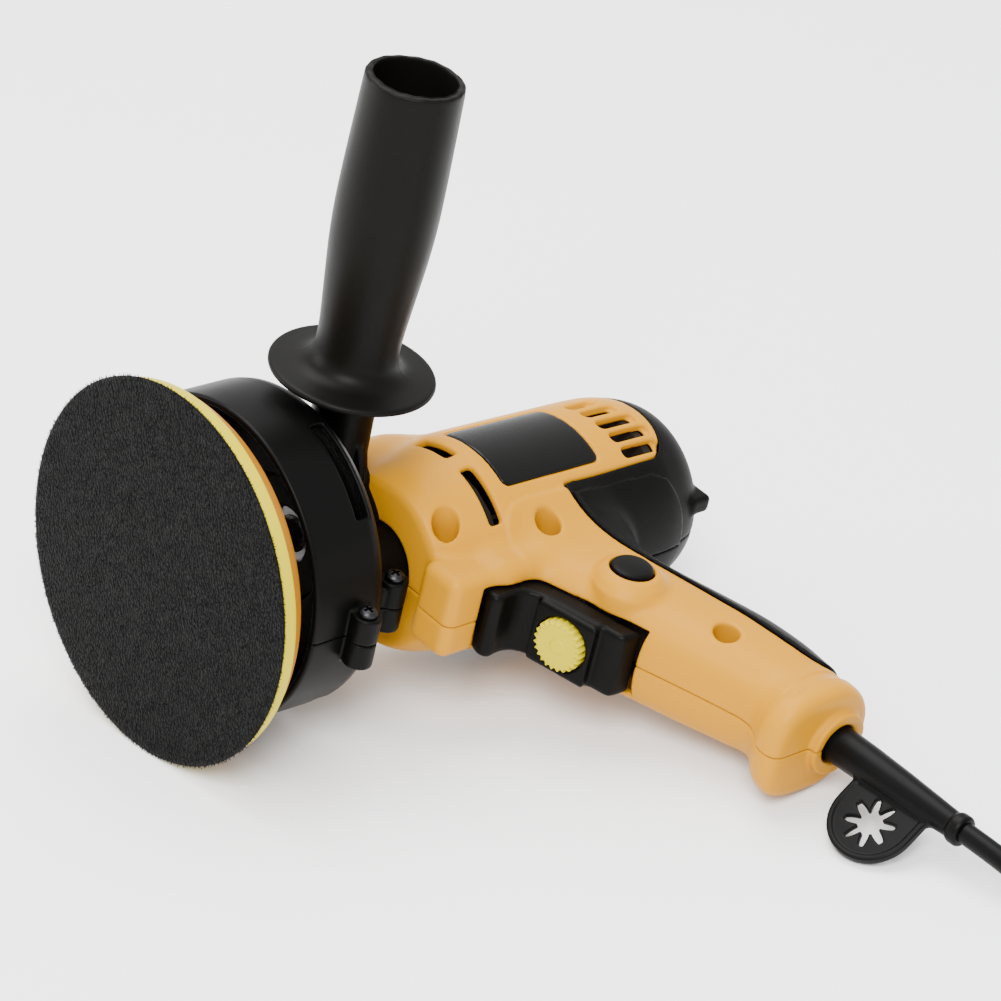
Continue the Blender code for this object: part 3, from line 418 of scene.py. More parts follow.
def sample(field, spots):
    """The field between its points."""
    spots = np.clip(spots, 0, np.array(field.shape) - 1.001)
    whole = spots.astype(int)
    part = spots - whole
    total = 0
    for i in (0, 1):
        for j in (0, 1):
            for k in (0, 1):
                weight = np.prod(np.where([i, j, k], part, 1 - part), 1)
                total = total + weight * field[whole[:, 0] + i, whole[:, 1] + j, whole[:, 2] + k]
    return total


# ---------------------------------------------------------------- pieces


def add_piece(name, mesh, material, body, slot, *nodes):
    """A finished piece: it rides on a body and stands for these nodes."""
    piece = bpy.data.objects.new(name, mesh)
    bpy.context.scene.collection.objects.link(piece)
    if not mesh.materials:
        mesh.materials.append(MATERIALS[material])
    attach(piece, body)
    if nodes:
        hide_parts(*nodes)
    return piece


def make_mesh(name, spots, faces, matrix=TOOL_ARRAY, sharp=None):
    """Shaded smooth, and taken from the tool's frame to the world."""
    spots = np.asarray(spots, float) @ matrix[:3, :3].T + matrix[:3, 3]
    mesh = bpy.data.meshes.new(name)
    mesh.from_pydata(spots.tolist(), [], [list(map(int, face)) for face in faces])
    mesh.shade_smooth()
    if sharp:
        mesh.set_sharp_from_angle(angle=math.radians(sharp))
    return mesh


def add_solid(name, grid, field, material, body, slot, *nodes, sharp=None):
    spots, faces = grid.mesh(field)
    return add_piece(name, make_mesh(name, spots, faces, sharp=sharp), material, body, slot, *nodes)


def lathe(profile, steps, turn):
    """Points and faces of a half outline (along, radius), swept by turn(along, radius, angle)."""
    spots, faces = [], []
    count = len(profile)
    for i in range(steps):
        angle = 2 * math.pi * i / steps
        spots += [turn(along, radius, angle) for along, radius in profile]
    for i in range(steps):
        a, b = i * count, (i + 1) % steps * count
        for j in range(count):
            k = (j + 1) % count
            if profile[j][1] < 1e-6 and profile[k][1] < 1e-6:
                continue
            faces.append((a + j, a + k, b + k, b + j))
    return spots, faces


def welded(mesh):
    bm = bmesh.new()
    bm.from_mesh(mesh)
    bmesh.ops.remove_doubles(bm, verts=bm.verts, dist=1e-6)
    bmesh.ops.dissolve_degenerate(bm, edges=bm.edges, dist=1e-7)
    bmesh.ops.recalc_face_normals(bm, faces=bm.faces)
    bm.to_mesh(mesh)
    bm.free()
    return mesh


def about_x(along, radius, angle):
    return along, radius * math.cos(angle), radius * math.sin(angle)


def about_handle(along, radius, angle):
    return HANDLE_X + radius * math.cos(angle), along, radius * math.sin(angle)


# ---------------------------------------------------------------- housing

HANDLE_X = -67.2
WALL = 2.7
SEAM = 0.12
BARREL_RADIUS = 35.0
NECK_BORE = 17.7
BOSS_BORE = 14.4
SHELL_STEP = 0.62

BARREL = [
    (-71.9, 0), (-71.9, 25.4), (-72.3, 27.0), (-73.4, 28.4), (-78, 30.6), (-85, 32.3), (-92, 34.0),
    (-98, 35.1), (-104, 35.6), (-127, 35.2), (-150, 34.7), (-168, 34.2), (-176, 33.0), (-183, 31.0),
    (-188, 28.0), (-191.5, 23.0), (-193.1, 17.0), (-193.5, 9.0), (-193.5, 0),
]
BULGE = [
    (-72.2, 0), (-72.2, 19.4), (-72.6, 20.8), (-74, 22.3), (-78, 23.4), (-98, 23.4), (-103, 22.9),
    (-108, 21.8), (-113, 20.0), (-121, 15.0), (-124, 0),
]
# Height z, front x, back x, half width, squareness.
GRIP = np.array([
    (-166.0, -116.8, -160.0, 19.0, 3.1), (-160.0, -116.6, -160.2, 19.1, 3.1),
    (-155.0, -117.2, -160.6, 18.8, 2.9), (-150.0, -121.0, -160.2, 17.7, 2.7),
    (-144.0, -123.4, -160.6, 17.2, 2.6), (-134.0, -121.0, -161.0, 18.0, 2.7),
    (-120.0, -116.4, -159.6, 18.8, 2.8), (-105.0, -111.2, -156.0, 19.0, 2.8),
    (-90.0, -106.5, -151.4, 19.3, 2.8), (-80.0, -103.0, -149.2, 19.5, 2.9),
    (-70.0, -99.8, -149.0, 20.0, 3.1), (-62.0, -98.0, -151.5, 21.2, 3.5),
    (-55.0, -97.2, -156.0, 23.6, 4.0), (-48.0, -96.8, -160.0, 27.0, 4.6),
    (-40.0, -96.0, -164.0, 29.5, 5.0),
])
CORD_X = -143.5
WELLS = {"nose": (-79.0, -43.0), "waist": (-112.6, -55.4), "grip": (-131.0, -122.0)}
LOCK = (-122.0, -86.0)
VENTS = ((-95.1, (1.5, 27.5)), (-95.1, (-46.5, -10.0)))
LABEL = ((-146.8, -103.2), (-29.0, 25.0))
GRILLE_ANGLES = (16.5, 5.0, -6.5, -17.2, -28.0)
GRILLE_ENDS = ((-155.2, -164.5), (-155.8, -168.3), (-156.4, -171.2), (-157.0, -172.6), (-157.6, -172.2))
REAR = [
    (-128.5, -44.9), (-140, -44.9), (-166, -44.4), (-171.5, -43.2), (-175.4, -39.4), (-177.6, -34.0),
    (-178.3, -27), (-178.0, -18), (-176.8, -8), (-174.5, 2), (-172.5, 14), (-174, 24), (-215, 30),
    (-215, -110), (-180, -147.5), (-160, -148.6), (-152.5, -148.2), (-149.2, -144), (-146.2, -133),
    (-143.2, -114.5), (-139.4, -93), (-137.4, -83), (-134.2, -74.5), (-131.6, -67), (-128.6, -57),
    (-127.2, -50), (-126.8, -46.5),
]


# The raised side of the grip, where it meets the barrel.
SHOULDER = [
    (-97.0, -58), (-97.6, -52.5), (-99.4, -49.2), (-102.6, -47.4), (-107, -46.8), (-127.6, -47.2),
    (-127.6, -50), (-129, -58), (-132.5, -68), (-136, -80), (-97, -80),
]
# The back of the grip is nearly elliptical, and its front is squarer.
BACK_SQUARENESS = 2.1
BUTT_Z = -163.6
# Raised collar round the lock button, as (y, radius).
LOCK_COLLAR = [(10, 0), (10, 13.6), (18.0, 12.9), (20.4, 11.2), (22.2, 9.0), (22.5, 8.4), (22.5, 0)]
TRIGGER_WAY = [
    (-80.2, -60.5), (-80.2, -110), (-86, -118), (-110.8, -105.4), (-121, -105.4), (-121, -60.5),
]
BUTT_PANEL = [
    (-125.5, -152.8), (-142, -150.2), (-157.5, -151.6), (-157.5, -156.0), (-142, -154.6),
    (-126.5, -157.2),
]
# The rear cover stands proud below this line.
COVER_RIDGE = [
    (-110, -49.4), (-164, -49.0), (-171, -51), (-176, -56), (-179, -63), (-181, -74), (-181, -180),
    (-100, -180),
]
VENT_HALF_WIDTH = 2.35
CRUMB_POINTS = 400
GRILLE_HALF_HEIGHT = 1.6


def grip_field(grid):
    """Rounded sections whose size and place change smoothly with height."""
    heights = grid.axes[2]
    curve = np.array(smooth(GRIP, steps=5))
    front, back, width, power = (np.interp(heights, curve[:, 0], curve[:, k]) for k in (1, 2, 3, 4))
    depth, middle = (front - back) / 2, (front + back) / 2
    u = np.maximum(np.abs(grid.x - middle[None, None, :]) / depth, 1e-4)
    v = np.maximum(np.abs(grid.y) / width, 1e-4)
    p = np.where(grid.x > middle[None, None, :], power[None, None, :], BACK_SQUARENESS)
    size = (u**p + v**p) ** (1 / p)
    slope = np.hypot((u / size) ** (p - 1) / depth, (v / size) ** (p - 1) / width)
    field = (size - 1) / np.maximum(slope, 0.02)
    field = blend_max(field, grid.z + 47.4, 1.2)
    return blend_max(field, BUTT_Z - grid.z, 5.0)


def housing_field(grid):
    """The outside of the whole casing, before it is hollowed, cut and split."""
    barrel = grid.turned(BARREL[:1] + smooth(BARREL[1:-1]) + BARREL[-1:], "x", (0, MOTOR_Z))
    bulge = grid.turned(BULGE[:1] + smooth(BULGE[1:-1]) + BULGE[-1:], "x")
    body = blend_min(barrel, bulge, 5.0)
    body = blend_min(body, grip_field(grid), 2.2)
    foot = grid.block((-104, -12.4, -64.6), (-67.3, 16.6, -47.5), 3.8)
    body = blend_min(body, foot, 2.4)
    cheek = grid.block((-110, -15.5, -66.0), (-86, 17.6, -50), 5.0)
    body = blend_min(body, cheek, 5.0)
    ring = grid.rod("z", (CORD_X, 0), 10.9, -166.6, -158, 11.6)
    return blend_min(body, ring, 1.2)


def wrapped(grid):
    """The distance from the motor's axis, and the way round the barrel's flank, upwards from its middle."""
    radius = np.hypot(grid.y, grid.z - MOTOR_Z)
    angle = np.arctan2(grid.z - MOTOR_Z, np.abs(grid.y) + 1e-6)
    return radius, angle * BARREL_RADIUS


def arc_length(angle):
    return math.radians(angle) * BARREL_RADIUS


def window(grid, around, span, angles, corner):
    """A rounded rectangle on the barrel's flank."""
    low, high = (arc_length(angle) for angle in angles)
    centre = ((span[0] + span[1]) / 2, (low + high) / 2)
    half = ((span[1] - span[0]) / 2, (high - low) / 2)
    return pill(grid.x, around, centre, half, corner)


def raised_sides(grid):
    """The casing's outside with the collar round the lock button and the raised shoulders of the grip."""
    outer = housing_field(grid)
    collar = grid.turned(LOCK_COLLAR, "y", (LOCK[0] + 0.5, LOCK[1] - 1.2))
    outer = blend_min(outer, np.maximum(collar, 8 - grid.y), 1.6)
    lift = 0.9 * np.clip((grid.z + 68) / 15, 0, 1)
    shoulder = blend_max(outer - lift, grid.flank(SHOULDER, 8), 1.4)
    return blend_min(outer, shoulder, 1.0)


def cut_vents(grid, body, outer, radius, around):
    """The nose vents, and the rear grille with a shallow trough round each of its slots."""
    for centre, angles in VENTS:
        slot = window(grid, around, (centre - VENT_HALF_WIDTH, centre + VENT_HALF_WIDTH), angles, 1.2)
        body = carve(body, np.maximum(slot, 20 - radius), 1.1)
    for angle, (front, back) in zip(GRILLE_ANGLES, GRILLE_ENDS):
        middle = arc_length(angle)
        half_length = (front - back) / 2
        slot = pill(grid.x, around, ((front + back) / 2, middle), (half_length, GRILLE_HALF_HEIGHT), 1.0)
        trough = pill(grid.x, around, ((front + back) / 2 - 1.0, middle), (half_length + 1.2, 2.0), 1.9)
        body = carve(body, np.maximum(slot, 20 - radius), 0.9)
        body = carve(body, np.maximum(trough, -(outer + 1.5)), 1.2)
    return body


def cut_openings(grid, body, outer):
    """The screw wells and the button's hole in the left side, the trigger's way and the cord's seat."""
    left = grid.y > 0
    for well in WELLS.values():
        mouth = grid.rod("y", well, 4.1, 8.0, 50, 5.2)
        body = np.where(left, carve(body, mouth, 1.0), body)
    hole = grid.rod("y", LOCK, 7.5, 8.0, 30)
    body = np.where(left, carve(body, hole, 0.9), body)
    body = carve(body, grid.flank(TRIGGER_WAY, -12.1, 12.1), 0.8)
    body = carve(body, grid.rod("z", (CORD_X, 0), 7.0, -175, -150), 1.6)
    body = carve(body, grid.rod("z", (CORD_X, 0), 9.3, -161.3, -150), 0.2)
    # A blank sunk panel that follows the butt's rim.
    return carve(body, np.maximum(grid.flank(BUTT_PANEL), -(outer + 0.55)), 0.5)


def make_housing():
    grid = Grid((-198, -40, -171), (-63, 40, 28), SHELL_STEP)
    outer = raised_sides(grid)
    hollow = outer + WALL
    radius, around = wrapped(grid)
    body = np.maximum(outer, -hollow)
    for well in WELLS.values():
        sleeve = grid.rod("y", well, 6.3, 3.0, 40)
        body = np.minimum(body, np.maximum(sleeve, outer))
    body = carve(body, grid.rod("x", (0, 0), NECK_BORE, -76, -60), 0.5)
    body = carve(body, grid.rod("x", (0, MOTOR_Z), BOSS_BORE, -76, -60), 0.5)
    body = cut_vents(grid, body, outer, radius, around)
    seat = window(grid, around, *LABEL, 3.0)
    body = carve(body, np.maximum(seat, -(outer + 1.0)), 0.5)
    body = cut_openings(grid, body, outer)

    rear = grid.flank(smooth(REAR, closed=True, steps=3))
    yellow = carve(body, rear, 0.7)
    cover = blend_max(rear_cover_body(grid, outer, hollow), rear + 0.3, 0.7)
    for side, half in (("left", SEAM - grid.y), ("right", SEAM + grid.y)):
        node = f"housing_{side}"
        shell = blend_max(yellow, half, 0.5)
        keep_largest(add_solid(node + "_shell", grid, shell, "yellow", "housing", "yellow", node))
        shell = blend_max(cover, half, 0.5)
        node = f"rear_cover_{side}"
        keep_largest(add_solid(f"rear_{side}_shell", grid, shell, "soft", "housing", "black", node))
        make_label_plate(grid, side, outer, around)


def make_label_plate(grid, side, outer, around):
    """A blank plate, sunk in its seat by a tenth of a millimetre."""
    (back, front), (low, high) = LABEL
    plate = window(grid, around, (back + 0.35, front - 0.35), (low + 0.6, high - 0.6), 2.8)
    plate = blend_max(np.maximum(plate, -(outer + 2.0)), outer + 0.12, 0.5)
    away = -grid.y if side == "left" else grid.y
    plate = np.maximum(plate, away + 5)
    add_solid(f"label_plate_{side}", grid, plate, "label", "housing", "label", f"label_{side}")


def rear_cover_body(grid, outer, hollow):
    """The black cover's shell, a little proud below a ridge that follows its upper edge."""
    raised = blend_max(outer - 1.0, grid.flank(COVER_RIDGE), 0.9)
    body = blend_min(outer, raised, 0.5)
    nub = grid.block((-191.2, 7.0, -55.5), (-182, 13.5, -47.0), 1.8)
    body = blend_min(body, nub, 1.6)
    return np.maximum(body, -hollow)


def keep_largest(piece):
    """Drops crumbs that a cut leaves loose."""
    mesh = piece.data
    bm = bmesh.new()
    bm.from_mesh(mesh)
    left = set(bm.verts)
    groups = []
    while left:
        stack, group = [left.pop()], []
        while stack:
            vert = stack.pop()
            group.append(vert)
            for edge in vert.link_edges:
                other = edge.other_vert(vert)
                if other in left:
                    left.remove(other)
                    stack.append(other)
        groups.append(group)
    groups.sort(key=len)
    loose = [vert for group in groups[:-1] if len(group) < CRUMB_POINTS for vert in group]
    bmesh.ops.delete(bm, geom=loose, context="VERTS")
    bm.to_mesh(mesh)
    bm.free()


# ---------------------------------------------------------------- gear case, shroud and side handle

SHROUD_STEP = 0.55
SHROUD = [
    (-21.5, 50.7), (-21.5, 52.6), (-22.0, 53.1), (-45.4, 53.2), (-47.6, 52.7), (-49.6, 51.4),
    (-51.2, 49.2), (-51.9, 46.4), (-52, 42), (-52, 29.2), (-53.4, 27.4), (-70.6, 27.2), (-71.4, 26.6),
    (-71.4, 21.4), (-49.5, 21.4), (-49.5, 45.5), (-48.2, 48.4), (-45.5, 50.4),
]
LUGS = {"lower": (-39.0, -56.4), "upper": (-39.0, 56.4), "collar": (-60.5, -44.0)}
LUG_RADIUS = 4.8
# The post that carries the side handle, as (y, radius).
POST = [(24, 0), (24, 14), (27, 11.6), (32, 10.4), (53.6, 10.1), (53.6, 0)]
# The air slot in each half: its middle angle, half its angle, and where it lies on the cup's wall.
AIR_SLOT_ANGLE = 32.0
AIR_SLOT_HALF_ANGLE = 18.5
AIR_SLOT_RADIUS = 52
AIR_SLOT_X = -43.9


def shroud_cup(grid, radius):
    cup = grid.turned(SHROUD, "x")
    rib = np.maximum(np.abs(grid.x + 61.5) - 0.6, np.abs(radius - 27.0) - 1.2)
    cup = blend_min(cup, rib, 0.6)
    step = grid.turned([(-52.6, 24), (-52.6, 36.5), (-51.6, 37.5), (-51, 24)], "x")
    return blend_min(cup, step, 0.8)


def with_handle_post(grid, body):
    post = grid.turned(POST, "y", (HANDLE_X, 0))
    gussets = grid.block((HANDLE_X - 1.2, 22, -15), (HANDLE_X + 1.2, 44, 15), 0.6)
    gussets = np.maximum(gussets, (np.abs(grid.z) - 15) + (grid.y - 27) * 0.45)
    return blend_min(blend_min(body, post, 3.0), gussets, 0.6)


def air_slot(grid, radius, sign):
    angle = np.degrees(np.arctan2(grid.z, grid.y))
    middle = -AIR_SLOT_ANGLE if sign > 0 else 180 + AIR_SLOT_ANGLE
    offset = (angle - middle + 180) % 360 - 180
    half = (2.6, math.radians(AIR_SLOT_HALF_ANGLE) * AIR_SLOT_RADIUS)
    slot = pill(grid.x, np.radians(offset) * AIR_SLOT_RADIUS, (AIR_SLOT_X, 0), half, 0.5)
    return np.maximum(slot, 48 - radius)


def shroud_half(grid, cup, radius, sign):
    """The half of the cup on the handle's side when sign is 1, or on the other side when it is -1."""
    body = cup
    for x, z in LUGS.values():
        reach = sorted((-2 * sign, 9.0 * sign))
        body = blend_min(body, grid.rod("y", (x, z), LUG_RADIUS, *reach), 1.6)
    web = sorted((-2 * sign, 7.0 * sign))
    body = blend_min(body, grid.block((-62.5, web[0], -46.0), (-50.5, web[1], -41.0), 0.5), 0.8)
    if sign > 0:
        body = with_handle_post(grid, body)
    body = carve(body, grid.rod("x", (0, 0), 50.5, -48.9, 0), 0.3)
    body = carve(body, grid.rod("x", (0, MOTOR_Z), 14.5, -76, -54), 0.4)
    body = carve(body, grid.rod("x", (0, 0), 21.35, -76, -45), 0.4)
    if sign > 0:
        body = carve(body, grid.rod("y", (HANDLE_X, 0), 4.4, 31, 60), 0.2)
    bore = (-3, 12.0) if sign > 0 else (-7.0, 3)
    for place in LUGS.values():
        body = carve(body, grid.rod("y", place, 2.0, *bore), 0.2)
    body = carve(body, air_slot(grid, radius, sign), 0.5)
    body = carve(body, grid.rod("y", (-18.0, -58.5), 6.5, -12, 12), 0.8)
    return blend_max(body, SEAM - sign * grid.y, 0.45)


def make_shroud():
    grid = Grid((-74, -57, -64), (-18, 58, 64), SHROUD_STEP)
    radius = np.hypot(grid.y, grid.z)
    cup = shroud_cup(grid, radius)
    for side, sign in (("left", 1), ("right", -1)):
        node = f"shroud_{side}"
        half = shroud_half(grid, cup, radius, sign)
        add_solid(node + "_shell", grid, half, "shroud", "housing", "black", node)


# Half outlines of the gear case, as (x, radius): the spindle's neck and the motor's boss with its rim.
NECK = [
    (-53.6, 9.7), (-53.6, 20.3), (-54.3, 21), (-71.4, 21), (-71.4, 17.4), (-76.6, 17.4), (-76.6, 14.2),
    (-56.1, 14.2), (-56.1, 9.7),
]
MOTOR_BOSS = [(-57.2, 0), (-57.2, 12.9), (-58.4, 14.0), (-76.4, 14.0), (-76.4, 0)]
MOTOR_BOSS_RIM = [(-56.6, 8.2), (-56.6, 10.6), (-58, 10.6), (-58, 8.2)]


def make_gear_case():
    grid = Grid((-79, -25, -46), (-51, 25, 25), 0.6)
    neck = grid.turned(NECK, "x")
    boss = grid.turned(MOTOR_BOSS, "x", (0, MOTOR_Z))
    rim = grid.turned(MOTOR_BOSS_RIM, "x", (0, MOTOR_Z))
    body = blend_min(blend_min(neck, boss, 1.4), rim, 0.6)
    body = np.minimum(body, grid.rod("x", (0, MOTOR_Z), 20.0, -76.6, -75.0))
    for centre, radius, low in (((0, MOTOR_Z), 6.3, -61.0), ((0, 0), 14.2, -56.1)):
        body = carve(body, grid.rod("x", centre, radius, -82, low), 0.2)
    body = carve(body, grid.rod("y", WELLS["nose"], 6.1, -60, 60), 0.2)
    add_solid("gear_case_shell", grid, body, "black", "housing", "black", "gear_case_cover")


HANDLE_STEPS = 128
# Half outline of the side handle as (y, radius), from its bore round the flange and the tube's open end.
HANDLE = [
    (54.1, 4.4), (54.1, 11.8), (54.6, 13.0), (56.2, 15.2), (57.2, 20.5), (57.6, 25.2), (58.0, 26.6),
    (58.7, 27.0), (59.5, 26.8), (60.0, 26.0), (60.3, 23.0), (61.0, 18.5), (62.6, 15.6), (65.2, 13.9),
    (69, 13.35), (76, 13.6), (90, 14.8), (103, 15.9), (115, 16.45), (128, 16.4), (142, 16.1),
    (156, 15.75), (160.9, 15.6), (161.8, 15.2), (162.1, 14.6), (161.9, 13.5), (161.2, 13.1),
    (150, 12.9), (110, 12.2), (78, 11.4), (75.2, 10.8), (74.4, 9.6), (74.2, 7.0), (74.2, 0.0),
]


def moulded_handle(spots):
    """Adds a mould's parting line up both sides, and a ragged flash on the tube's end."""
    radial = spots - np.array([HANDLE_X, 0, 0])
    angle = np.arctan2(radial[:, 2], radial[:, 0])
    reach = np.hypot(radial[:, 0], radial[:, 2])
    outer = (reach > 12.6) & (spots[:, 1] > 56.5) & (spots[:, 1] < 162.0)
    seam = np.exp(-((np.abs(np.sin(angle - 0.9)) * reach) / 0.45) ** 2) * outer * 0.14
    for k in (0, 2):
        spots[:, k] += radial[:, k] / np.maximum(reach, 1) * seam
    flash = (spots[:, 1] > 161.3) & (reach > 13.0)
    spots[:, 1] += flash * (0.1 + 0.1 * np.sin(angle * 5 + 1) + 0.08 * np.sin(angle * 17))
    return spots


def make_side_handle():
    profile = [HANDLE[0], *smooth(HANDLE[1:-1], steps=4), (74.2, 0.0), (71.0, 0.0), (71.0, 4.4)]
    spots, faces = lathe(profile, HANDLE_STEPS, about_handle)
    spots = moulded_handle(np.array(spots))
    mesh = welded(make_mesh("side_handle_grip", spots, faces, sharp=50))
    add_piece("side_handle_grip", mesh, "handle", "housing", "black", "side_handle")


THREAD_PITCH = 0.9
RECESS_HALF_WIDTH = 0.42
# Head radius, shank radius, length and head height.
HOUSING_SCREW = (3.5, 1.75, 19.0, 2.4)
SHROUD_SCREW = (3.2, 1.55, 14.5, 2.1)


def screw_mesh(head_radius, shank_radius, length, head):
    """A pan head with a cross recess, and a shank with a turned thread, along the tool's y."""
    side = head_radius + 1
    grid = Grid((-side, -length - 1, -side), (side, head + 1, side), 0.16)
    dome = [
        (0, 0), (0, head_radius), (head * 0.45, head_radius * 0.98), (head * 0.8, head_radius * 0.75),
        (head, head_radius * 0.35), (head, 0),
    ]
    thread = [(0, shank_radius)]
    for i in range(int(length / THREAD_PITCH) - 1):
        root = -THREAD_PITCH * i
        thread += [(root - 0.3, shank_radius * 0.8), (root - 0.8, shank_radius)]
    shank = grid.turned([(0, 0), *thread, (-length, 0.3), (-length, 0)], "y")
    body = blend_min(grid.turned(dome, "y"), shank, 0.15)
    arm = head_radius * 0.55
    for half in ((RECESS_HALF_WIDTH, arm), (arm, RECESS_HALF_WIDTH)):
        cross = np.maximum(np.abs(grid.x) - half[0], np.abs(grid.z) - half[1])
        cross = np.maximum(cross, head * 0.35 - grid.y)
        body = carve(body, cross, 0.15)
    return grid.mesh(body)


def make_screws():
    kinds = (("housing", WELLS, 8.0, HOUSING_SCREW), ("shroud", LUGS, 9.3, SHROUD_SCREW))
    for kind, places, y, sizes in kinds:
        spots, faces = screw_mesh(*sizes)
        for place, (x, z) in places.items():
            node = f"{kind}_screw_{place}"
            mesh = make_mesh(node, spots + np.array([x, y, z]), faces, sharp=45)
            add_piece(node + "_cross_head", mesh, "dark_steel", "housing", "steel", node)


# ---------------------------------------------------------------- pad

PAD_RADIUS = 62.5
PAD_STEPS = 160
# The yellow band ends here; the dome beyond is painted a darker orange, painted shade on the same yellow
# foam.
BAND_END_X = -7.3
HOOK_FACE = [
    (-1.45, 0), (-1.45, 61.9), (-1.1, 62.4), (-0.75, 62.45), (-0.55, 62.1), (-0.5, 61.0), (-0.5, 0),
]
HOOK_PITCH = 0.95
HOOK_WIDTH = 0.16
FRINGE_COUNT = 1300
FRINGE_WIDTH = 0.17
PAD_BACK = [
    (-1.75, 0), (-1.75, 61.4), (-2.1, 61.7), (-4.4, 61.4), (-6.6, 60.9), (-7.2, 60.3), (-8.2, 59.6),
    (-10.5, 58.0), (-13.6, 55.0), (-16.4, 50.4), (-18.1, 44.5), (-18.9, 36.0), (-19.0, 30.6),
    (-19.0, 14.3), (-6.0, 14.3), (-6.0, 0),
]


def make_pad():
    profile = PAD_BACK[:2] + smooth(PAD_BACK[2:12], steps=3) + PAD_BACK[12:]
    spots, faces = lathe(profile, PAD_STEPS, about_x)
    mesh = welded(make_mesh("pad_moulding", spots, faces, sharp=40))
    mesh.materials.append(MATERIALS["lemon"])
    # The second material paints the dome darker orange as painted shade.
    mesh.materials.append(MATERIALS["pad_dome_shade"])
    inverse = np.linalg.inv(TOOL_ARRAY)
    for polygon in mesh.polygons:
        along = (inverse @ np.array([*polygon.center, 1]))[0]
        polygon.material_index = int(along < BAND_END_X)
    add_piece("pad_moulding", mesh, "lemon", "spindle", "lemon", "pad_foam")
    spots, faces = lathe(HOOK_FACE, PAD_STEPS, about_x)
    backing = welded(make_mesh("pad_hook_backing", spots, faces, sharp=40))
    add_piece("pad_hook_backing", backing, "hook", "spindle", "hook", "pad_hook_face")
    add_piece("pad_hooks", hook_mesh(), "hook", "spindle", "hook")


def add_filament(spots, faces, base, lean, length, width):
    """A three-sided hair that narrows to a tip and leans, bending over towards the pad."""
    first = len(spots)
    side = Vector((0, lean[2], -lean[1])).normalized() * width
    base, lean = Vector(base), Vector(lean)
    middle = base + lean * length * 0.5
    tip = base + lean * length + Vector((-0.24 * length, 0, 0))
    for centre, size in ((base, 1.0), (middle, 0.9)):
        corner = Vector((0.0, lean[1], lean[2])) * width * size
        spots.extend((centre + side * size, centre - side * size, centre + corner))
    spots.append(tip)
    for i in range(3):
        j = (i + 1) % 3
        faces.append((first + i, first + j, first + 3 + j, first + 3 + i))
        faces.append((first + 3 + i, first + 3 + j, first + 6))


def hook_mesh():
    """Thousands of leaning filaments in rows on the pad's face, and a fringe round its rim."""
    draw = random.Random(7)
    spots, faces = [], []
    rows = int(PAD_RADIUS * 2 / HOOK_PITCH)
    for i in range(rows):
        y = -PAD_RADIUS + HOOK_PITCH * (i + 0.5)
        for k in range(rows):
            z = -PAD_RADIUS + HOOK_PITCH * (k + 0.5 * (i % 2))
            near_y, near_z = y + draw.uniform(-0.25, 0.25), z + draw.uniform(-0.25, 0.25)
            if near_y * near_y + near_z * near_z > (PAD_RADIUS - 0.8) ** 2:
                continue
            turn = draw.uniform(0, 2 * math.pi)
            tilt = draw.uniform(0.2, 0.9)
            lean = (math.cos(tilt), math.sin(tilt) * math.cos(turn), math.sin(tilt) * math.sin(turn))
            add_filament(spots, faces, (-0.6, near_y, near_z), lean, draw.uniform(0.6, 1.15), HOOK_WIDTH)
    reach = PAD_RADIUS - 0.45
    for i in range(FRINGE_COUNT):
        turn = 2 * math.pi * i / FRINGE_COUNT + draw.uniform(-0.003, 0.003)
        spread = draw.uniform(-0.5, 0.5)
        lean = (draw.uniform(0.1, 0.6), math.cos(turn + spread), math.sin(turn + spread))
        base = (draw.uniform(-1.2, -0.6), reach * math.cos(turn), reach * math.sin(turn))
        add_filament(spots, faces, base, Vector(lean).normalized(), draw.uniform(0.4, 1.7), FRINGE_WIDTH)
    return make_mesh("pad_hooks", [tuple(s) for s in spots], faces)


# ---------------------------------------------------------------- trigger, dial and lock button

TRIGGER = [
    (-81.6, -63.2), (-80.7, -66.4), (-81.1, -69.0), (-83.2, -70.3), (-86.2, -69.9), (-90.0, -69.8),
    (-93.6, -71.4), (-96.2, -75.2), (-98.0, -80.0), (-99.6, -86.0), (-101.2, -92.0), (-103.0, -98.6),
    (-104.0, -102.4), (-105.2, -104.0), (-107.4, -104.4), (-112.2, -104.4), (-107.6, -86.0),
    (-105.2, -63.2),
]
DIAL = (-94.7, -86.5)
DIAL_TILT = math.radians(13.5)
DIAL_RADIUS = 8.9
DIAL_POINTS = 24
DIAL_STEPS_PER_POINT = 8
DIAL_NOTCH = 1.15
# The dial's half outline: the height along its axis, and the share of its radius.
DIAL_LEVELS = [
    (-6.0, 0.0), (-6.0, 1.0), (-0.5, 1.0), (0.0, 0.955), (0.1, 0.90), (-0.25, 0.86), (-0.25, 0.30),
    (0.05, 0.26), (0.05, 0.0),
]
# The lock button's half outline, as (y, radius), with the flange that keeps it in.
LOCK_BUTTON = [
    (10.6, 0), (10.6, 4.5), (11.6, 4.5), (11.6, 8.0), (12.4, 8.0), (12.4, 6.95), (22.2, 6.95),
    (22.75, 6.8), (23.15, 6.3), (23.3, 5.6), (23.45, 3.6), (23.55, 1.8), (23.6, 0),
]


def tilted(grid, centre, tilt):
    """Distances along an axis that leans in the flank's plane, and across it."""
    dx, dz = grid.x - centre[0], grid.z - centre[1]
    along = dx * math.cos(tilt) - dz * math.sin(tilt)
    across = dx * math.sin(tilt) + dz * math.cos(tilt)
    return along, across


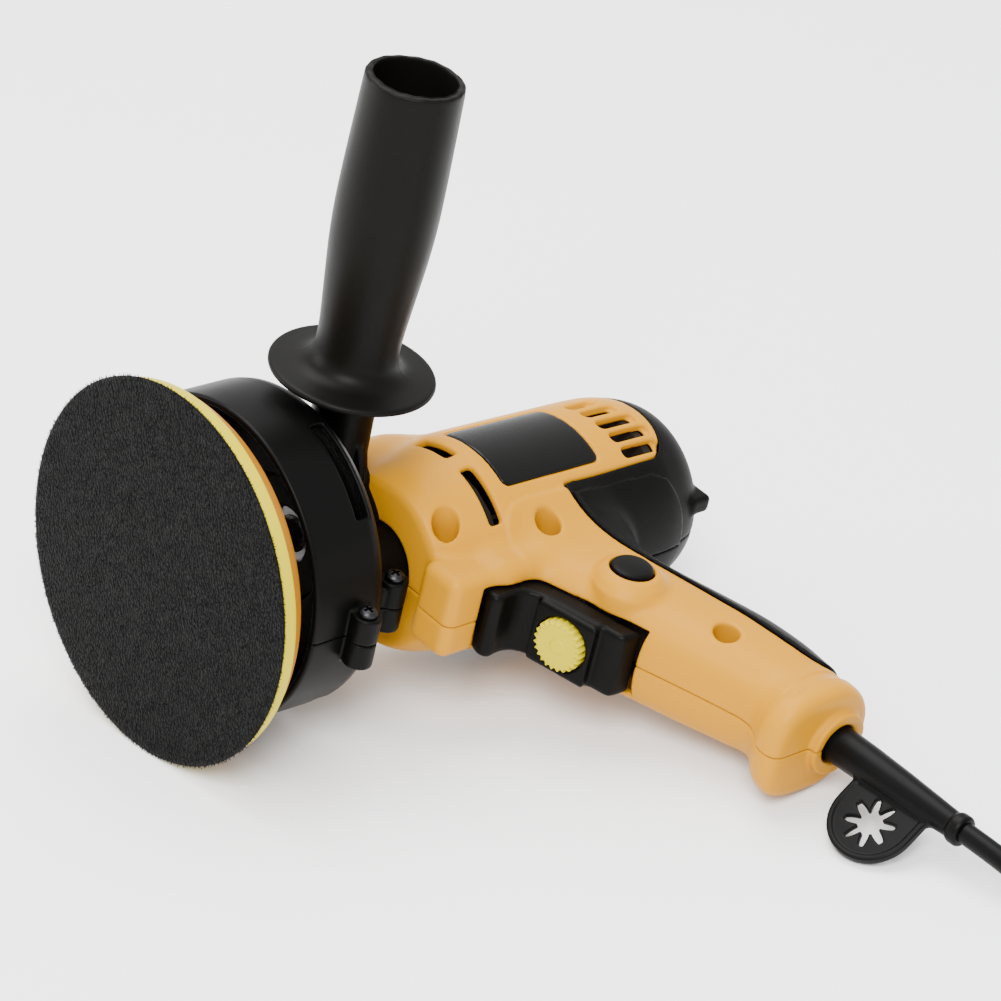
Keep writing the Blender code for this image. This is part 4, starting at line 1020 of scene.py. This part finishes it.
def make_trigger():
    grid = Grid((-116, -14, -107), (-79, 14, -60), 0.42)
    outline = smooth(TRIGGER[:14], steps=3) + TRIGGER[14:]
    body = grid.flank(outline, -11.7, 11.7, 2.2)
    # The dial sits in a squarer block that stands out of the finger scoop.
    along, across = tilted(grid, DIAL, DIAL_TILT)
    block = np.maximum(np.maximum(along + 2.0, -along - 12.5), np.abs(across) - 11.0)
    block = blend_max(block, np.abs(grid.y) - 11.4, 2.0)
    body = blend_min(body, block, 1.2)
    round_well = np.maximum(np.hypot(across, grid.y) - DIAL_RADIUS - 0.45, -along - 6.4)
    body = carve(body, round_well, 0.5)
    add_solid("trigger_lever", grid, body, "black", "trigger", "black", "trigger")


def dial_reach(size, share):
    """The dial's radius at a share of its turn: notched round the rim, and round nearer the middle."""
    if size <= 0.85:
        return (DIAL_RADIUS - 0.4) * size
    saw = abs((share * DIAL_POINTS) % 1 - 0.5) * 2
    return (DIAL_RADIUS - DIAL_NOTCH * (1 - saw**1.5)) * size


def make_dial():
    spots, faces = [], []
    count = DIAL_POINTS * DIAL_STEPS_PER_POINT
    for along, size in DIAL_LEVELS:
        for i in range(count):
            angle = 2 * math.pi * i / count
            reach = dial_reach(size, i / count)
            u, v = reach * math.cos(angle), reach * math.sin(angle)
            x = DIAL[0] + along * math.cos(DIAL_TILT) + u * math.sin(DIAL_TILT)
            z = DIAL[1] - along * math.sin(DIAL_TILT) + u * math.cos(DIAL_TILT)
            spots.append((x, v, z))
    for level in range(len(DIAL_LEVELS) - 1):
        for i in range(count):
            j = (i + 1) % count
            a, b = level * count, (level + 1) * count
            faces.append((a + i, a + j, b + j, b + i))
    mesh = welded(make_mesh("speed_dial_wheel", spots, faces, sharp=32))
    add_piece("speed_dial_wheel", mesh, "lemon", "speed_dial", "lemon", "speed_dial")


def about_lock(along, radius, angle):
    return LOCK[0] + radius * math.cos(angle), along, LOCK[1] + radius * math.sin(angle)


def make_lock_button():
    spots, faces = lathe(LOCK_BUTTON, 72, about_lock)
    mesh = welded(make_mesh("lock_button_cap", spots, faces, sharp=35))
    add_piece("lock_button_cap", mesh, "black", "lock_button", "black", "lock_button")


# ---------------------------------------------------------------- cord

CORD_RADIUS = 3.5
COIL_CENTRE = Vector((240.0, 100.0, 0.0))
# The cord's route over the ground: from the strain relief to the coil, and from the coil to the plug.
CORD_ROUTE = [
    (165.0, 49.9, 12.9), (171.0, 49.9, 12.2), (178.0, 50.0, 11.2), (186.0, 50.2, 9.6),
    (194.0, 50.4, 7.8), (202.0, 50.6, 6.3), (209.0, 50.8, 5.4), (222.0, 50.8, 4.3),
]
TAIL_ROUTE = [
    (232.0, 156.9, 16.0), (220.0, 156.7, 12.8), (209.0, 156.3, 8.9), (200.0, 156.0, 6.3),
    (193.0, 155.7, 5.6), (187.0, 155.5, 6.5), (181.2, 155.4, 7.9),
]
# How the coil winds, by turns: its radius and its height. Two layers, then part of a turn on top.
COIL_TURNS = (0, 2.47, 2.70, 4.94, 5.19, 5.31, 5.49)
COIL_WINDING_RADII = (49.3, 31.9, 33.5, 49.3, 46.0, 46.0, 56.8)
COIL_WINDING_HEIGHTS = (3.9, 3.9, 10.9, 10.9, 17.4, 17.4, 17.0)
POINTS_PER_TURN = 48


def coil_route():
    """The turns of the coil, softened where a layer climbs on the one below."""
    turns = np.arange(0, COIL_TURNS[-1], 1 / POINTS_PER_TURN)
    window = np.hanning(9) / np.hanning(9).sum()
    radii, heights = (
        np.convolve(np.pad(np.interp(turns, COIL_TURNS, values), 4, mode="edge"), window, mode="valid")
        for values in (COIL_WINDING_RADII, COIL_WINDING_HEIGHTS)
    )
    angles = 2 * math.pi * turns - math.pi / 2
    return [
        (COIL_CENTRE.x + radius * math.cos(angle), COIL_CENTRE.y + radius * math.sin(angle), height)
        for radius, height, angle in zip(radii, heights, angles)
    ]


def make_cord():
    route = smooth(CORD_ROUTE + coil_route() + TAIL_ROUTE, steps=2)
    curve = bpy.data.curves.new("mains_cord", "CURVE")
    curve.dimensions = "3D"
    curve.bevel_depth = CORD_RADIUS * MM
    curve.bevel_resolution = 6
    curve.use_fill_caps = True
    spline = curve.splines.new("POLY")
    spline.points.add(len(route) - 1)
    for point, spot in zip(spline.points, route):
        point.co = (*(Vector(spot) * MM), 1)
    spline.use_smooth = True
    cord = bpy.data.objects.new("mains_cord", curve)
    bpy.context.scene.collection.objects.link(cord)
    curve.materials.append(MATERIALS["rubber"])
    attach(cord, "housing")
    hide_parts("cord", "cord_coil", "cord_tail")
    return cord


# ---------------------------------------------------------------- relief, plug and tie

RELIEF_TOP = np.array((CORD_X, 0.0, -158.5))
RELIEF_END = np.array((-143.4, 3.0, -220.0))
TAB_ANGLE = math.radians(33)
TAB_START = 21.0
TAB_END = 50.0
TAB_REACH = 28.0
STAR_RAYS = 8
STAR_INNER = 4.0
STAR_RAY_LENGTH = 4.4


def relief_axes():
    """The boot's own axes as the CAD places it: across, thickness and along."""
    along = Vector(RELIEF_END - RELIEF_TOP).normalized()
    turn = Vector((0, 0, 1)).rotation_difference(along).to_matrix()
    out = turn @ Vector((math.cos(TAB_ANGLE), math.sin(TAB_ANGLE), 0))
    return np.array(out), np.array(along.cross(out)), np.array(along)


def key_tab(grid):
    """The flat tab, round at its end, with a raised rim."""
    middle, radius = (TAB_START + TAB_END) / 2, (TAB_END - TAB_START) / 2
    outline = [(3.0, TAB_START)]
    for angle in np.linspace(0, math.pi, 25):
        outline.append((TAB_REACH - radius + radius * math.sin(angle), middle - radius * math.cos(angle)))
    outline.append((3.0, TAB_END))
    flat = outline_distance(grid.axes[0][:, None], grid.axes[2][None, :], outline)[:, None, :]
    tab = blend_max(flat, np.abs(grid.y) - 1.05, 0.5)
    rim = blend_max(np.abs(flat + 0.8) - 0.8, np.abs(grid.y) - 1.5, 0.4)
    return blend_min(tab, rim, 0.6)


def key_star(grid):
    """The star-shaped hole that holds a key."""
    du, dv = grid.x - (TAB_REACH - 13.0), grid.z - (TAB_START + TAB_END) / 2
    reach, angle = np.hypot(du, dv), np.arctan2(dv, du)
    between_rays = np.abs((angle * STAR_RAYS / (2 * math.pi)) % 1 - 0.5) * 2
    radius = STAR_INNER + STAR_RAY_LENGTH * np.clip((1 - between_rays) * 1.9 - 0.5, 0, 1)
    return np.maximum((reach - radius) * 0.6, np.abs(grid.y) - 5)


def make_strain_relief():
    length = float(np.linalg.norm(RELIEF_END - RELIEF_TOP))
    grid = Grid((-10, -9, -1), (30, 9, length + 2), 0.36)
    boot = [
        (0.2, 0), (0.2, 8.2), (1.9, 8.2), (2.1, 6.6), (4, 6.35), (20, 6.15), (36, 5.5), (50, 4.7),
        (length - 5, 4.3), (length - 4.2, 4.9), (length - 3.4, 5.2), (length - 1.0, 5.2),
        (length - 0.2, 4.8), (length, 4.2), (length, 0),
    ]
    body = blend_min(grid.turned(boot, "z"), key_tab(grid), 1.6)
    body = carve(body, key_star(grid), 0.3)
    spots, faces = grid.mesh(body)
    spots = spots @ np.array(relief_axes()) + RELIEF_TOP
    mesh = make_mesh("cord_boot", spots, faces)
    add_piece("cord_boot", mesh, "rubber", "housing", "rubber", "strain_relief")


# The plug lies flat on the ground, its pins towards the tool: all in millimetres over the ground.
PLUG_CENTRE = (160.0, 155.5, 9.2)
PLUG_HALF_THICKNESS = 8.2
PLUG_RIDGES = (152, 157, 162, 167, 172)
# Half of the body's outline, as (x, half width), from its front to its back.
PLUG_OUTLINE = [
    (140.2, 12.3), (141.5, 12.9), (150, 12.7), (160, 10.9), (170, 8.7), (178, 6.9), (179.8, 5.3),
]
PLUG_CORD_HOLE = ((155.4, 7.9), 3.75, 178.0)
PIN_OFFSET = 9.5
PIN_FACE_X = 139.7
PIN_TIP = [(10.0, 0), (10.0, 1.9), (17.2, 1.95), (18.4, 1.5), (18.9, 0.8), (19.0, 0)]
PIN_SLEEVE = [(0, 0), (0, 2.0), (9.9, 2.0), (9.9, 0)]


def make_plug():
    """A two-pin moulded plug: a waisted body, finger ridges, a sleeve for the cord and round pins."""
    grid = Grid((134, 140, -1), (186, 171, 20), 0.4)
    y, z = PLUG_CENTRE[1:]
    outline = [(x, y - half) for x, half in PLUG_OUTLINE] + [(179.9, y)]
    outline += [(x, y + half) for x, half in PLUG_OUTLINE[::-1]]
    outline = smooth(outline, closed=True, steps=4)
    flat = outline_distance(grid.axes[0][:, None], grid.axes[1][None, :], outline)[:, :, None]
    body = blend_max(flat, np.abs(grid.z - z) - PLUG_HALF_THICKNESS, 4.5)
    for x in PLUG_RIDGES:
        body = carve(body, np.maximum(np.abs(grid.x - x) - 0.8, -(body + 0.8)), 0.7)
    place, radius, start = PLUG_CORD_HOLE
    hole = np.hypot(grid.y - place[0], grid.z - place[1]) - radius
    body = carve(body, np.maximum(hole, start - grid.x), 0.3)
    spots, faces = grid.mesh(body)
    mesh = make_mesh("plug_moulding", spots, faces, GROUND_ARRAY)
    add_piece("plug_moulding", mesh, "rubber", "housing", "rubber", "plug_body")
    make_pin(1, y - PIN_OFFSET)
    make_pin(2, y + PIN_OFFSET)


def make_pin(number, y):
    """A steel tip, which stands for the pin's node, and the rubber sleeve round its root."""

    def about_pin(along, radius, angle):
        return PIN_FACE_X - along, y + radius * math.cos(angle), PLUG_CENTRE[2] + radius * math.sin(angle)

    tip = ("tip", PIN_TIP, "steel", [f"plug_pin_{number}"])
    sleeve = ("sleeve", PIN_SLEEVE, "rubber", [])
    for part, profile, kind, nodes in (tip, sleeve):
        name = f"plug_pin_{number}_{part}"
        spots, faces = lathe(profile, 40, about_pin)
        mesh = welded(make_mesh(name, spots, faces, GROUND_ARRAY, sharp=40))
        add_piece(name, mesh, kind, "housing", kind, *nodes)


# The band's section round the coil's turns: its middle and half size in x and z, and its corners' radius.
TIE_MIDDLE = (279.9, 10.8)
TIE_HALF = (13.7, 10.5)
TIE_CORNER = 4.5
# Across the band, along y: where each edge lies and how far it stands out of the section.
TIE_EDGES = ((94.2, 0.0), (94.5, 0.35), (105.5, 0.35), (105.8, 0.0), (105.5, -0.35), (94.5, -0.35))


def make_tie():
    """A woven band with rounded corners round the coil's east side."""
    section = []
    for corner, (sx, sz) in enumerate(((1, 1), (-1, 1), (-1, -1), (1, -1))):
        x = TIE_MIDDLE[0] + sx * (TIE_HALF[0] - TIE_CORNER)
        z = TIE_MIDDLE[1] + sz * (TIE_HALF[1] - TIE_CORNER)
        for step in range(7):
            angle = math.radians(90 * corner + 15 * step)
            section.append((x + TIE_CORNER * math.cos(angle), z + TIE_CORNER * math.sin(angle)))
    spots, faces = [], []
    count = len(section)
    centre = np.array(TIE_MIDDLE)
    for y, shift in TIE_EDGES:
        for x, z in section:
            out = np.array((x, z)) - centre
            out = out / np.linalg.norm(out)
            spots.append((x + out[0] * shift, y, z + out[1] * shift))
    rings = len(TIE_EDGES)
    for ring in range(rings):
        a, b = ring * count, (ring + 1) % rings * count
        for i in range(count):
            j = (i + 1) % count
            faces.append((a + i, a + j, b + j, b + i))
    mesh = welded(make_mesh("coil_band", spots, faces, GROUND_ARRAY, sharp=50))
    add_piece("coil_band", mesh, "strap", "housing", "rubber", "coil_tie")


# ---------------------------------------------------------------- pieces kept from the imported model

KEPT = {
    "black": ["pad_hub"],
    "steel": [
        "spindle", "spindle_gear", "armature_pinion", "armature_shaft", "handle_stud",
        "spindle_bearing_front", "spindle_bearing_rear", "armature_bearing_front", "armature_bearing_rear",
    ],
    # Laminations and copper carry the painted shade of the casing's inside.
    "laminate": ["armature_core", "stator"],
    "copper": [
        "commutator", "field_winding_front", "field_winding_rear", "brush_holder_left", "brush_holder_right",
    ],
    "carbon": ["brush_left", "brush_right"],
    # These inner parts take the warm near-black of painted shade.
    "grey": ["gear_case_plate", "nose_bush", "motor_end_bracket", "cooling_fan", "switch_body", "cord_clamp"],
}


def dress_kept_nodes():
    for material, nodes in KEPT.items():
        for node in nodes:
            data = bpy.data.objects[node].data
            data.materials.clear()
            data.materials.append(MATERIALS[material])


MATERIALS = make_materials()
make_camera()
make_floor()
make_studio()
cord = make_cord()
make_housing()
make_shroud()
make_gear_case()
make_side_handle()
make_screws()
make_pad()
make_trigger()
make_dial()
make_lock_button()
make_strain_relief()
make_plug()
make_tie()
dress_kept_nodes()
